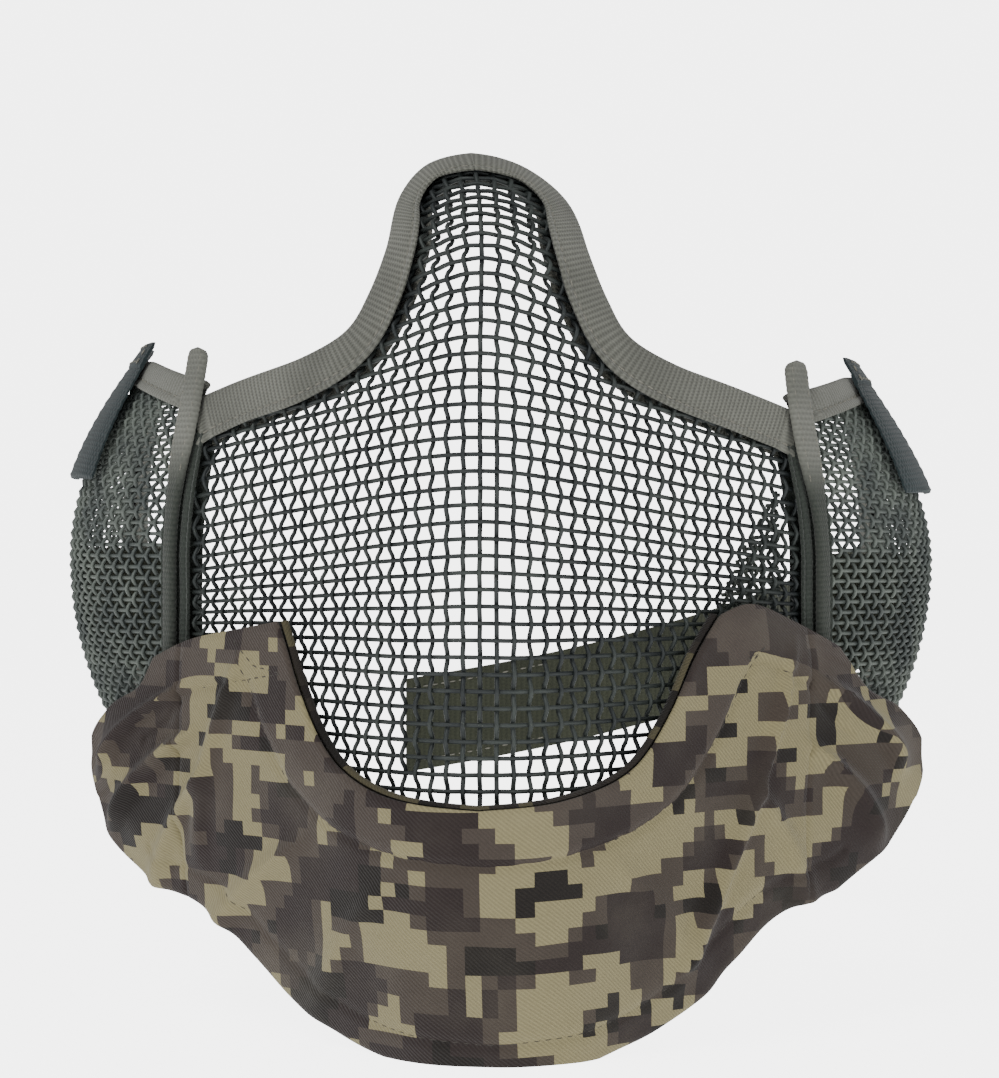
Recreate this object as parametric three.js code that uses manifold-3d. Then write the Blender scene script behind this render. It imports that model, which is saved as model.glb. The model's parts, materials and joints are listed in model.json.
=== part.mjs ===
// Half-face mesh mask: a woven wire face shell with bound edges, two domed mesh ear guards that
// swing on their front seams, webbing straps and a patterned fabric cover over the chin.
// Millimetres, +Z up, the mask faces -Y. The origin is on the mid-plane, where the face seats.
import * as THREE from "three";
import { mergeVertices } from "three/addons/utils/BufferGeometryUtils.js";
import Module from "manifold-3d";

const wasm = await Module();
wasm.setup();

// Face shell
const NOSE_REACH = 56; // front-most wire ahead of the origin
const SHELL_TOP = 75;
const SHELL_BOTTOM = -96;
const SHELL_HALF_WIDTH = 63.4;
const SEAM_SPLAY = 5; // the side seams close in by this much towards their tops
const CHEEK_TOP = 27.5; // height of the cheek edge at the side seam
const JAW_CORNER = -58; // where the side edge turns under the jaw
const CHEEK_SLOPE = 0.95; // how fast the cheeks fall back per unit of width
const NOSE_RADIUS = 12;
const BRIDGE_RIDGE = 14; // how far the bridge stands ahead of the cheeks beside it
const BRIDGE_HALF_WIDTH = 19;
const BRIDGE_LEAN = 3.5; // the bent bridge leans this far to the mask's -X side at its top
const SIDE_TILT = 0.026; // the +X side of the mask sits this much lower per unit of width
const WIRE_CLOTH = 1.6; // thickness of the woven wire, two wires deep

// Edge bindings, webbing folded over a wire edge
const BINDING_THICKNESS = 4;
const FACE_FOLD = 11; // width of the folded webbing on the face, along the surface
const EAR_FOLD = 7;
const SEAM_FOLD = 3.6; // the narrow binding down the face's side edges
const EAR_SEAM_FOLD = 4.4; // and down the ear guards' front edges
const FACE_SPINE = 1.7; // webbing beyond the wire's edge
const EAR_SPINE = 3;
const CLEARANCE = 0.3;

// Ear guards
const SEAM_GAP = 0.7; // between the face's side edge and an ear guard's front edge, across
const SEAM_STEP = 1.3; // an ear guard's front edge lies this far behind the face's side edge
const EAR_FRONT = faceSurface(sideEdge(0), 0).y + SEAM_STEP;
const EAR_CENTRE_Y = 38;
const EAR_REAR = 82;
const EAR_CENTRE_Z = -4;
const EAR_HALF_HEIGHT = 40;
const EAR_BULGE = 31.5; // the dome's height over the seam line
const EAR_REAR_REACH = 100; // distance over which the dome would close behind its centre
const EAR_TUCK = { left: 0, right: 4 }; // degrees that an ear guard is swung in at rest
const EAR_DOME_POWER = 2.1;
const EAR_CROWN_LOSS = 0.38; // share of the bulge lost at the top and bottom edges
const SEAM_TAPE_LAP = 1.8; // how far the hinge tape laps the face's side edge
const SEAM_TAPE_WIDTH = 4.6;
const SEAM_TAPE_TIP = 9; // rounded tip above the cheek edge
const TAPE_THICKNESS = 1.8;

// Straps
const STRAP_WIDTH = 25;
const STRAP_THICKNESS = 1.6;
const ROOT_MID_Z = -15; // mid-height of the lower straps' sewn roots
const UPPER_STRAP_FRONT = 14;
const UPPER_STRAP_TOP = 38.5;
const UPPER_STRAP_LENGTH = 28;
const ANCHOR_HEIGHT = 6; // sewn top of an upper strap
const STRAP_HINGE_GAP = 1.3;
const FOLD_GAP = 0.8; // between an upper strap and its sewn top
const PAD_THICKNESS = 1.2;
const PAD_LENGTH = 38;
const PAD_MARGIN = 1.5;
const STUB_PAD_LENGTH = 18;

// Chin cover
const FABRIC_THICKNESS = 1.6;
const FABRIC_STANDOFF = 4.8; // inner face of the fabric over the wire's mid-surface
const HEM_WIDTH = 10;
const NECKLINE_BOTTOM = -48.5;
const COVER_BOTTOM = -98.5;
const COVER_SIDE = SHELL_HALF_WIDTH + 4.1; // where the front panel meets its wings
const WING_GAP = 0.9; // slack in the cover over the hinge seam
const WING_TIP = SHELL_HALF_WIDTH + 19.6;
const COVER_HALF_SPAN = SHELL_HALF_WIDTH + 28.6;

const REACH = 400; // longer than the object, for cutting prisms
const COLOURS = {
  wire: 0x5a6255,
  webbing: 0x7c7b74,
  tape: 0x94948c,
  strap: 0x454f4f,
  elastic: 0x50523f,
  fabric: 0x857a63,
  hem: 0x3f3a33,
};

// ---- surfaces ---------------------------------------------------------------------------------

// Fall-back of the mid-plane profile behind the nose at height z.
function profileDepth(z) {
  const nose = Math.max(0, z - 24);
  const bridge = Math.max(0, z - 50);
  const chin = Math.max(0, -30 - z);
  return 0.0068 * nose ** 2 + 0.03 * bridge ** 2 + 0.0042 * chin ** 2;
}

// Fall-back of the cheeks beside the mid-plane, with the ridge of the nose above them.
function flankDepth(x, z) {
  const cheek = CHEEK_SLOPE * (Math.cbrt(Math.abs(x) ** 3 + NOSE_RADIUS ** 3) - NOSE_RADIUS);
  const ridge = BRIDGE_RIDGE * THREE.MathUtils.smoothstep(z, 5, 60);
  return cheek + ridge * (1 - Math.exp(-((x / NOSE_RADIUS) ** 2)));
}

function faceSurface(x, z) {
  return new THREE.Vector3(x, profileDepth(z) + flankDepth(x, z) - NOSE_REACH, z);
}

// The face's side edge at height z: its distance from the mid-plane.
function sideEdge(z) {
  return SHELL_HALF_WIDTH - SEAM_SPLAY * THREE.MathUtils.smoothstep(z, -5, CHEEK_TOP + 10);
}

// How far the face's side edge lies behind where it is at mid-height.
function seamLean(z) {
  return faceSurface(sideEdge(z), z).y - faceSurface(sideEdge(0), 0).y;
}

// The right-hand ear guard's dome, as a point over (y, z). It leans back as the seam does.
function earSurface(y, z) {
  const reach = y < EAR_CENTRE_Y ? EAR_CENTRE_Y - EAR_FRONT : EAR_REAR_REACH;
  const along = (Math.abs(y - EAR_CENTRE_Y) / reach) ** EAR_DOME_POWER;
  const up = (Math.abs(z - EAR_CENTRE_Z) / EAR_HALF_HEIGHT) ** EAR_DOME_POWER;
  const bulge = EAR_BULGE * (1 - along) * (1 - EAR_CROWN_LOSS * up);
  return new THREE.Vector3(sideEdge(z) + SEAM_GAP + bulge, y + seamLean(z), z);
}

// A surface's point moved out along its normal by w.
function offSurface(surface, u, v, w) {
  const step = 0.01;
  const alongU = surface(u + step, v).sub(surface(u - step, v));
  const alongV = surface(u, v + step).sub(surface(u, v - step));
  return surface(u, v).addScaledVector(alongU.cross(alongV).normalize(), w);
}

// A box bent onto a surface: its first two sides follow the surface, its third is the thickness.
function bentSlab(surface, [u0, u1], [v0, v1], [w0, w1], uSteps, vSteps) {
  const box = new THREE.BoxGeometry(u1 - u0, v1 - v0, w1 - w0, uSteps, vSteps, 1);
  box.translate((u0 + u1) / 2, (v0 + v1) / 2, (w0 + w1) / 2);
  const at = box.attributes.position;
  for (let i = 0; i < at.count; i += 1) {
    const point = offSurface(surface, at.getX(i), at.getY(i), at.getZ(i));
    at.setXYZ(i, point.x, point.y, point.z);
  }
  return box;
}

const FACE_COLUMNS = 22;
const FACE_ROWS = 26;

// A layer over the face, out to the side edges or as wide as the cover. Its columns are closer
// together at the nose than at the sides.
function faceSlab(w0, w1, halfSpan = sideEdge) {
  const point = (t, z) => faceSurface(halfSpan(z) * (0.5 * t + 0.5 * t * Math.abs(t)), z);
  return bentSlab(point, [-1, 1], [SHELL_BOTTOM - 8, SHELL_TOP + 4], [w0, w1], FACE_COLUMNS, FACE_ROWS);
}

const coverSpan = () => COVER_HALF_SPAN;

const EAR_COLUMNS = 10;
const EAR_ROWS = 9;
const ROOT_OVERRUN = 2; // sewn strap showing past the ear guard's rear edge

function earSlab(w0, w1) {
  const depths = [EAR_FRONT, EAR_REAR + ROOT_OVERRUN];
  const heights = [EAR_CENTRE_Z - EAR_HALF_HEIGHT - 6, EAR_CENTRE_Z + EAR_HALF_HEIGHT + 9];
  return bentSlab(earSurface, depths, heights, [w0, w1], EAR_COLUMNS, EAR_ROWS);
}

// ---- solids -----------------------------------------------------------------------------------

function solid(geometry) {
  geometry.deleteAttribute("normal");
  geometry.deleteAttribute("uv");
  const merged = mergeVertices(geometry, 1e-5);
  const vertProperties = new Float32Array(merged.attributes.position.array);
  const triVerts = new Uint32Array(merged.index.array);
  return new wasm.Manifold(new wasm.Mesh({ numProp: 3, vertProperties, triVerts }));
}

function geometryOf(manifold) {
  const mesh = manifold.getMesh();
  const geometry = new THREE.BufferGeometry();
  geometry.setAttribute("position", new THREE.BufferAttribute(mesh.vertProperties, 3));
  geometry.setIndex(new THREE.BufferAttribute(mesh.triVerts, 1));
  return geometry;
}

function extruded(outline) {
  const prism = new THREE.ExtrudeGeometry(new THREE.Shape(outline), { depth: REACH, bevelEnabled: false });
  return prism.translate(0, 0, -REACH / 2);
}

// An outline in the (x, z) plane, run along Y.
function prismAlongY(outline) {
  const prism = extruded(outline);
  prism.rotateX(Math.PI / 2);
  return solid(prism);
}

// An outline over an ear guard's (y, z), leaned back with it and run along X.
function prismAlongX(outline) {
  const leaned = outline.map((p) => new THREE.Vector2(p.x + seamLean(p.y), p.y));
  const prism = extruded(leaned);
  const [x, y, z] = [new THREE.Vector3(1, 0, 0), new THREE.Vector3(0, 1, 0), new THREE.Vector3(0, 0, 1)];
  prism.applyMatrix4(new THREE.Matrix4().makeBasis(y, z, x));
  return solid(prism);
}

function rectangle([x0, x1], [y0, y1]) {
  return [[x0, y0], [x1, y0], [x1, y1], [x0, y1]].map(([x, y]) => new THREE.Vector2(x, y));
}

// Points along a smooth curve through the given ones.
function smooth(points, divisions) {
  return new THREE.SplineCurve(points.map(([x, y]) => new THREE.Vector2(x, y))).getPoints(divisions);
}

// The +X half of an outline, run from its top middle to its bottom middle, joined to its mirror.
function mirroredOutline(half) {
  const other = half.slice(1, -1).reverse();
  return [...half, ...other.map((p) => new THREE.Vector2(-p.x, p.y))];
}

// An outline moved inwards along the surface that it is drawn on, by a distance or by what a
// function of each edge's ends says. Each corner goes where the moved lines of its two edges meet.
function inset(outline, distance, surface) {
  const inwards = THREE.ShapeUtils.isClockWise(outline) ? -1 : 1;
  const count = outline.length;
  const step = 0.05;
  const movedEdge = (from, to) => {
    const run = to.clone().sub(from);
    const inner = new THREE.Vector2(-run.y, run.x).normalize().multiplyScalar(inwards);
    const beside = surface(from.x + inner.x * step, from.y + inner.y * step);
    const spread = surface(from.x, from.y).distanceTo(beside);
    const width = typeof distance === "function" ? distance(from, to) : distance;
    return { inner, shift: (width * step) / spread };
  };
  return outline.map((point, i) => {
    const before = movedEdge(outline[(i + count - 1) % count], point);
    const after = movedEdge(point, outline[(i + 1) % count]);
    const turn = before.inner.cross(after.inner);
    if (Math.abs(turn) < 0.05) return point.clone().addScaledVector(after.inner, after.shift);
    const x = (before.shift * after.inner.y - after.shift * before.inner.y) / turn;
    const y = (after.shift * before.inner.x - before.shift * after.inner.x) / turn;
    return new THREE.Vector2(point.x + x, point.y + y);
  });
}

// Webbing folded over a wire edge: a band between two outlines, with a slot for the wire.
function foldedBand(slab, rim, foldLine, slotLine) {
  const half = BINDING_THICKNESS / 2;
  const slot = WIRE_CLOTH / 2 + CLEARANCE;
  return slab(-half, half).intersect(rim).subtract(foldLine).subtract(slab(-slot, slot).intersect(slotLine));
}

function mirror(geometry) {
  const mirrored = geometry.clone().scale(-1, 1, 1);
  const index = mirrored.index.array;
  for (let i = 0; i < index.length; i += 3) [index[i], index[i + 1]] = [index[i + 1], index[i]];
  return mirrored;
}

// ---- outlines ---------------------------------------------------------------------------------

const bridgeSide = [
  [0, SHELL_TOP], [9, SHELL_TOP - 2], [16, SHELL_TOP - 9], [BRIDGE_HALF_WIDTH, SHELL_TOP - 20],
  [BRIDGE_HALF_WIDTH + 3.5, 46], [27, 39], [36, 34.5], [48, 31], [sideEdge(CHEEK_TOP), CHEEK_TOP],
];
const jawSide = [
  [SHELL_HALF_WIDTH, JAW_CORNER], [52, -74], [38, -86], [20, -93.5], [0, SHELL_BOTTOM],
];
const bridgeEdge = smooth(bridgeSide, 24);
const jawEdge = smooth(jawSide, 10);
const sideLine = [20, 13, 6, -1].map((z) => new THREE.Vector2(sideEdge(z), z));
const shellOutline = mirroredOutline([...bridgeEdge, ...sideLine, ...jawEdge]);
const shellRim = mirroredOutline([
  ...bridgeEdge, new THREE.Vector2(REACH, CHEEK_TOP), new THREE.Vector2(REACH, JAW_CORNER), ...jawEdge,
]);

const neckline = smooth(
  [[0, NECKLINE_BOTTOM], [13, NECKLINE_BOTTOM + 1.5], [24, -42.5], [31, -33], [36, -22], [40.5, -14.5]], 12);
const wingStart = SHELL_HALF_WIDTH + 1.6;
const coverTop = smooth([[40.5, -14.5], [47, -12.5], [wingStart - 9, -16.5], [wingStart, -21.5]], 6).slice(1);
const wing = [
  [wingStart, -21.5], [wingStart + 6, -30], [WING_TIP - 5, -34.5], [WING_TIP, -42],
  [WING_TIP - 2, -52], [wingStart + 10, -62.5], [wingStart, -69.5],
];
const wingOutline = smooth(wing, 14).slice(1, -1);
const chin = [[wingStart, -69.5], [wingStart - 12, -73], [43, -81.5], [33, -90.5], [18, -97], [0, COVER_BOTTOM]];
const coverBottom = smooth(chin, 12);
const coverOutline = mirroredOutline([...neckline, ...coverTop, ...wingOutline, ...coverBottom]);
const earTop = EAR_CENTRE_Z + EAR_HALF_HEIGHT;
const earBottom = EAR_CENTRE_Z - EAR_HALF_HEIGHT;
const earFrontTop = earTop - 5;
const earFrontBottom = earBottom + 3;
const earRim = smooth([
  [EAR_FRONT, earFrontTop], [18, earTop], [44, earTop - 2], [68, 22], [EAR_REAR, 0],
  [76, -24], [54, earBottom + 2], [26, earBottom], [EAR_FRONT, earFrontBottom],
], 26);
const earFrontEdge = smooth([[EAR_FRONT, earFrontBottom], [EAR_FRONT, earFrontTop]], 7).slice(1, -1);
const earOutline = [...earRim, ...earFrontEdge];

// ---- sub-parts --------------------------------------------------------------------------------

const onSeam = (p) => p.y < CHEEK_TOP + 0.1 && p.y > JAW_CORNER - 0.1 && Math.abs(p.x) > sideEdge(p.y) - 0.1;
const faceFold = (from, to) => (onSeam(from) && onSeam(to) ? SEAM_FOLD : FACE_FOLD);
const onEarFront = (p) => p.x < EAR_FRONT + 0.1;
const earFold = (from, to) => (onEarFront(from) && onEarFront(to) ? EAR_SEAM_FOLD : EAR_FOLD);

const faceBand = foldedBand(
  (w0, w1) => solid(faceSlab(w0, w1)),
  prismAlongY(shellRim),
  prismAlongY(inset(shellOutline, faceFold, faceSurface)),
  prismAlongY(inset(shellOutline, FACE_SPINE, faceSurface)),
);
const outerSkin = BINDING_THICKNESS / 2 + CLEARANCE;
const sideTop = CHEEK_TOP - FACE_FOLD - 0.5;
const sideBottom = JAW_CORNER - 4;

// The stretch of the face's binding between two heights, on one side of the mid-plane or on both.
function bindingStretch([z0, z1], [x0, x1] = [-REACH, REACH]) {
  return geometryOf(faceBand.intersect(prismAlongY(rectangle([x0, x1], [z0, z1]))));
}

function wireShell() {
  const half = WIRE_CLOTH / 2;
  const outline = inset(shellOutline, FACE_SPINE + CLEARANCE, faceSurface);
  return geometryOf(solid(faceSlab(-half, half)).intersect(prismAlongY(outline)));
}

// A flap of the ear guard's wire cloth that runs in behind the +X cheek.
function cheekFlap() {
  const outer = -outerSkin;
  const corners = [[58, 13], [47, -12], [38, -30], [38, -44], [58, -44]];
  const outline = corners.map(([x, z]) => new THREE.Vector2(x, z));
  return geometryOf(solid(faceSlab(outer - WIRE_CLOTH, outer)).intersect(prismAlongY(outline)));
}

function chinPanel([x0, x1]) {
  const outerFace = FABRIC_STANDOFF + FABRIC_THICKNESS;
  const fabric = solid(faceSlab(FABRIC_STANDOFF, outerFace, coverSpan));
  const side = prismAlongY(rectangle([x0, x1], [-REACH, REACH]));
  return fabric.intersect(prismAlongY(coverOutline)).intersect(side);
}

// The outline between two lines that run beside a curve, at their distances to its left.
function stripAlong(curve, near, far) {
  const beside = (distance) => curve.map((point, i) => {
    const run = curve[Math.min(i + 1, curve.length - 1)].clone().sub(curve[Math.max(i - 1, 0)]).normalize();
    return new THREE.Vector2(point.x - run.y * distance, point.y + run.x * distance);
  });
  return [...beside(near), ...beside(far).reverse()];
}

// Fabric turned in behind an edge of the cover. The half curve runs out from the mid-plane.
function turnedHem(halfCurve, near, far, w0) {
  const left = halfCurve.slice(1).reverse().map((p) => new THREE.Vector2(-p.x, p.y));
  const strip = prismAlongY(stripAlong([...left, ...halfCurve], near, far));
  return geometryOf(solid(faceSlab(w0, FABRIC_STANDOFF - CLEARANCE, coverSpan)).intersect(strip));
}

function earWire() {
  const half = WIRE_CLOTH / 2;
  const outline = inset(earOutline, EAR_SPINE + CLEARANCE, earSurface);
  return geometryOf(solid(earSlab(-half, half)).intersect(prismAlongX(outline)));
}

function earBinding() {
  const ahead = [new THREE.Vector2(-REACH, earFrontBottom), new THREE.Vector2(-REACH, earFrontTop)];
  return geometryOf(foldedBand(
    (w0, w1) => solid(earSlab(w0, w1)),
    prismAlongX([...earRim, ...ahead]),
    prismAlongX(inset(earOutline, earFold, earSurface)),
    prismAlongX(inset(earOutline, EAR_SPINE, earSurface)),
  ));
}

// Webbing tape down the hinge seam, with a rounded tip above the cheek edge.
function seamTape() {
  const radius = SEAM_TAPE_WIDTH / 2;
  const tipCentre = CHEEK_TOP + SEAM_TAPE_TIP - radius;
  const heights = [tipCentre, 27, 18, 9, 0, -10, sideBottom + 2];
  const middle = heights.map((z) => new THREE.Vector2(sideEdge(z) - SEAM_TAPE_LAP + radius, z));
  const axis = new THREE.Vector2();
  const tip = [1, 2, 3, 4, 5].map((i) => new THREE.Vector2(radius, 0).rotateAround(axis, (i * Math.PI) / 6));
  const near = middle.map((p) => new THREE.Vector2(p.x - radius, p.y));
  const far = middle.map((p) => new THREE.Vector2(p.x + radius, p.y));
  const outline = [...near, ...far.reverse(), ...tip.map((p) => p.add(middle[0]))];
  const layer = solid(faceSlab(outerSkin, outerSkin + TAPE_THICKNESS, coverSpan));
  return geometryOf(layer.intersect(prismAlongY(outline)));
}

// The part of a layer over the ear guard within some depths and heights.
function earPatch([w0, w1], depths, heights) {
  return geometryOf(solid(earSlab(w0, w1)).intersect(prismAlongX(rectangle(depths, heights))));
}

// The lower strap's end, sewn along the inside of the ear guard.
function strapRoot() {
  const heights = [ROOT_MID_Z - STRAP_WIDTH / 2, ROOT_MID_Z + STRAP_WIDTH / 2];
  return earPatch([-outerSkin - STRAP_THICKNESS, -outerSkin], [EAR_FRONT + 4, REACH], heights);
}

// A stretch of upper strap lying over the outside of the ear guard.
function upperStrap(heights) {
  const depths = [UPPER_STRAP_FRONT, UPPER_STRAP_FRONT + STRAP_WIDTH];
  return earPatch([outerSkin, outerSkin + STRAP_THICKNESS], depths, heights);
}

// A strap on edge along a route, drooping with it. Its pad lies on one of its faces.
function routedStrap(route, [u0, u1], [v0, v1], [w0, w1], steps) {
  const along = (u, v) => {
    const t = THREE.MathUtils.clamp(u, 0, 1);
    const beyond = route.getTangentAt(t).multiplyScalar((u - t) * route.getLength());
    return route.getPointAt(t).add(beyond).add(new THREE.Vector3(0, 0, v));
  };
  return bentSlab(along, [u0, u1], [v0, v1], [w0, w1], steps, 1);
}

function routeThrough(points) {
  const route = points.map(([x, y, z]) => new THREE.Vector3(x, y, z));
  return new THREE.CatmullRomCurve3(route, false, "centripetal");
}

// The lower strap leaves its root at the rear of the ear guard, in line with it.
const rootLayer = -outerSkin - STRAP_THICKNESS / 2;
const rootEnd = offSurface(earSurface, EAR_REAR + ROOT_OVERRUN, ROOT_MID_Z, rootLayer);
const rootBeyond = offSurface(earSurface, EAR_REAR + ROOT_OVERRUN + 1, ROOT_MID_Z, rootLayer);
const rootRun = rootBeyond.sub(rootEnd).setZ(0).normalize();
const strapStart = rootEnd.clone().addScaledVector(rootRun, STRAP_HINGE_GAP);
const strapLead = strapStart.clone().addScaledVector(rootRun, 12);

const backRoute = routeThrough([
  strapStart.toArray(), [strapLead.x, strapLead.y, -17], [78, 116, -22], [66, 137, -28.5], [46, 151, -35.5],
  [22, 158, -42], [0, 159.5, -46.5], [-21, 158.5, -50],
]);
const stubRoute = routeThrough([
  strapStart.toArray(),
  [strapStart.x - 0.5, strapStart.y + 11, -16],
  [strapStart.x + 1.5, strapStart.y + 26, -18],
]);
const halfStrap = STRAP_WIDTH / 2;
const halfThickness = STRAP_THICKNESS / 2;
const padHeights = [PAD_MARGIN - halfStrap, halfStrap - PAD_MARGIN];

function strapBand(route, steps) {
  return routedStrap(route, [0, 1], [-halfStrap, halfStrap], [-halfThickness, halfThickness], steps);
}

function strapPad(route, length, [w0, w1]) {
  const end = 1 - PAD_MARGIN / route.getLength();
  return routedStrap(route, [end - length / route.getLength(), end], padHeights, [w0, w1], 3);
}

// ---- assembly ---------------------------------------------------------------------------------

const mask = new THREE.Group();

// A worn mask's set: the bridge leans to one side, and one side sits lower than the other.
function askew(geometry) {
  const at = geometry.attributes.position;
  for (let i = 0; i < at.count; i += 1) {
    const [x, z] = [at.getX(i), at.getZ(i)];
    const lean = BRIDGE_LEAN * (Math.max(0, z - 50) / (SHELL_TOP - 50)) ** 2;
    at.setX(i, x - lean);
    at.setZ(i, z - SIDE_TILT * x * THREE.MathUtils.smoothstep(z, -20, 30));
  }
  return geometry;
}

function add(name, geometry, color, roughness = 0.85, metalness = 0) {
  const finish = new THREE.MeshStandardMaterial({ color, roughness, metalness });
  const mesh = new THREE.Mesh(askew(geometry), finish);
  mesh.name = name;
  mask.add(mesh);
}

// A piece made for the +X side, placed there or mirrored to the -X side.
function addSided(name, side, geometry, ...finish) {
  add(`${name}_${side}`, side === "right" ? geometry : mirror(geometry), ...finish);
}

// A piece of an ear guard, swung in with it about the hinge seam.
const hinge = new THREE.Vector3(SHELL_HALF_WIDTH + 2.3, EAR_FRONT - 2.6, 0);
function addToEar(name, side, geometry, ...finish) {
  geometry.translate(-hinge.x, -hinge.y, 0);
  geometry.rotateZ(THREE.MathUtils.degToRad(EAR_TUCK[side]));
  geometry.translate(hinge.x, hinge.y, 0);
  addSided(name, side, geometry, ...finish);
}

const wireFinish = [COLOURS.wire, 0.5, 0.6];
const chinEdge = coverBottom.slice(3).reverse();
const necklineInner = FABRIC_STANDOFF - CLEARANCE - FABRIC_THICKNESS;
const necklineHem = turnedHem(neckline.slice(0, -1), -HEM_WIDTH, -CLEARANCE, necklineInner);
add("face_mesh", wireShell(), ...wireFinish);
add("top_binding", bindingStretch([sideTop + CLEARANCE, REACH]), COLOURS.webbing);
add("chin_binding", bindingStretch([-REACH, sideBottom - CLEARANCE]), COLOURS.webbing);
add("cheek_flap_right", cheekFlap(), ...wireFinish);
add("chin_front_panel", geometryOf(chinPanel([-COVER_SIDE, COVER_SIDE])), COLOURS.fabric, 0.95);
add("neckline_hem", necklineHem, COLOURS.hem, 0.95);
add("chin_hem", turnedHem(chinEdge, CLEARANCE, HEM_WIDTH, outerSkin), COLOURS.hem, 0.95);

const padInner = halfThickness + CLEARANCE;
const LOWER_STRAPS = {
  left: { route: stubRoute, steps: 4, pad: STUB_PAD_LENGTH, face: [-padInner - PAD_THICKNESS, -padInner] },
  right: { route: backRoute, steps: 20, pad: PAD_LENGTH, face: [padInner, padInner + PAD_THICKNESS] },
};
const foldLine = UPPER_STRAP_TOP - ANCHOR_HEIGHT;

for (const [side, lower] of Object.entries(LOWER_STRAPS)) {
  const wing = geometryOf(chinPanel([COVER_SIDE + WING_GAP, REACH]));
  const pad = strapPad(lower.route, lower.pad, lower.face);
  const upper = upperStrap([UPPER_STRAP_TOP - UPPER_STRAP_LENGTH, foldLine - FOLD_GAP]);
  addSided("side_binding", side, bindingStretch([sideBottom, sideTop], [0, REACH]), COLOURS.webbing);
  addSided("seam_tape", side, seamTape(), COLOURS.tape);
  addSided("chin_wing", side, wing, COLOURS.fabric, 0.95);
  addToEar("ear_mesh", side, earWire(), ...wireFinish);
  addToEar("ear_binding", side, earBinding(), COLOURS.tape);
  addToEar("strap_root", side, strapRoot(), COLOURS.elastic);
  addToEar("strap_anchor", side, upperStrap([foldLine, UPPER_STRAP_TOP]), COLOURS.strap);
  addToEar("upper_strap", side, upper, COLOURS.strap);
  addToEar("lower_strap", side, strapBand(lower.route, lower.steps), COLOURS.elastic);
  addToEar("strap_pad", side, pad, COLOURS.strap);
}

export default mask;
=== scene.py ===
"""The looks of a half-face mesh mask: woven wire, folded webbing, straps and a camouflage cover."""
import json
import logging
import math
from dataclasses import dataclass, field
from enum import Enum
from typing import Any, Callable, Iterable, Optional, Sequence, Union

import bpy
import numpy as np
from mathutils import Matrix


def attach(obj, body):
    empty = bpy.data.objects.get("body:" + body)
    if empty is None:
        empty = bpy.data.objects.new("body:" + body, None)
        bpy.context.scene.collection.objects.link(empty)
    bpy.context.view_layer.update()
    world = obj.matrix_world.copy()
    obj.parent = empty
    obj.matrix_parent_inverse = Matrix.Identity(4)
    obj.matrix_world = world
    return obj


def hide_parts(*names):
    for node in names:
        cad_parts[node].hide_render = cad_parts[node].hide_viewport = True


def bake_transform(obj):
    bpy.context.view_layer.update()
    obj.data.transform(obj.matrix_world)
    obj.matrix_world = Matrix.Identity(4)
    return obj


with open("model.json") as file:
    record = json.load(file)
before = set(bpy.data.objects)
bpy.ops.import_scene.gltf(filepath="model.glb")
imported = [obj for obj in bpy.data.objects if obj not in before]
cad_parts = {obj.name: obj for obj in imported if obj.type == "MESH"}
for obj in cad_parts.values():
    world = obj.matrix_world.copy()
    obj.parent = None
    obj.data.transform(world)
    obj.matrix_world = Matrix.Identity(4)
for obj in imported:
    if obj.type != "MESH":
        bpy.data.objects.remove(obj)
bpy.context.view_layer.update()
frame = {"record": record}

MM = 0.001
SHARP_ANGLE = 55
SOFT_EDGE = 0.35
SEAM_STEP = 0.8
LOG = logging.getLogger("mask")
Array = np.ndarray


class Side(Enum):
    """A side of the mask, with its sign along X."""

    LEFT = -1
    RIGHT = 1

    @property
    def word(self) -> str:
        """The side's name as the pieces use it."""
        return self.name.lower()


def smoothstep(value: Array, low: float, high: float) -> Array:
    """A smooth rise from 0 at low to 1 at high."""
    t = np.clip((np.asarray(value, float) - low) / (high - low), 0, 1)
    return t * t * (3 - 2 * t)


def spline(points: Sequence[Sequence[float]], divisions: int) -> Array:
    """Points along a smooth curve through the given ones.

    Args:
        points: the points the curve goes through, in any number of dimensions.
        divisions: how many equal steps of the curve's parameter to take.

    Returns:
        One row for each point, divisions + 1 in all.
    """
    p = np.array(points, float)
    last = len(p) - 1
    t = np.linspace(0, last, divisions + 1)
    i = np.minimum(t.astype(int), last - 1)
    f = (t - i)[:, None]
    a, b, c, d = p[np.maximum(i - 1, 0)], p[i], p[i + 1], p[np.minimum(i + 2, last)]
    v0, v1 = (c - a) / 2, (d - b) / 2
    return (2 * b - 2 * c + v0 + v1) * f**3 + (-3 * b + 3 * c - 2 * v0 - v1) * f**2 + v0 * f + b


def unit(vectors: Array) -> Array:
    """Vectors scaled to a length of 1, along the last axis."""
    return vectors / np.linalg.norm(vectors, axis=-1, keepdims=True)


def left_of(line: Array) -> Array:
    """Steps of length 1 to the left of a flat line's run, one for each of its points."""
    run = unit(np.gradient(line, axis=0))
    return np.stack([-run[:, 1], run[:, 0]], axis=1)


def lengths_along(points: Array) -> Array:
    """The distance run along a line of points, from 0 at its first."""
    return np.concatenate([[0], np.cumsum(np.linalg.norm(np.diff(points, axis=0), axis=1))])


def spaced(points: Array, step: float) -> Array:
    """The same line with its points about step apart."""
    run = lengths_along(points)
    at = np.linspace(0, run[-1], max(2, int(round(run[-1] / step)) + 1))
    return np.stack([np.interp(at, run, points[:, k]) for k in range(points.shape[1])], axis=1)


def inside(outline: Array, x: Array, y: Array) -> Array:
    """Whether each point lies inside a closed outline."""
    hit = np.zeros(x.shape, bool)
    for (x0, y0), (x1, y1) in zip(outline, np.roll(outline, -1, axis=0)):
        if y0 != y1:
            hit ^= ((y0 > y) != (y1 > y)) & (x < (x1 - x0) * (y - y0) / (y1 - y0) + x0)
    return hit


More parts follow.
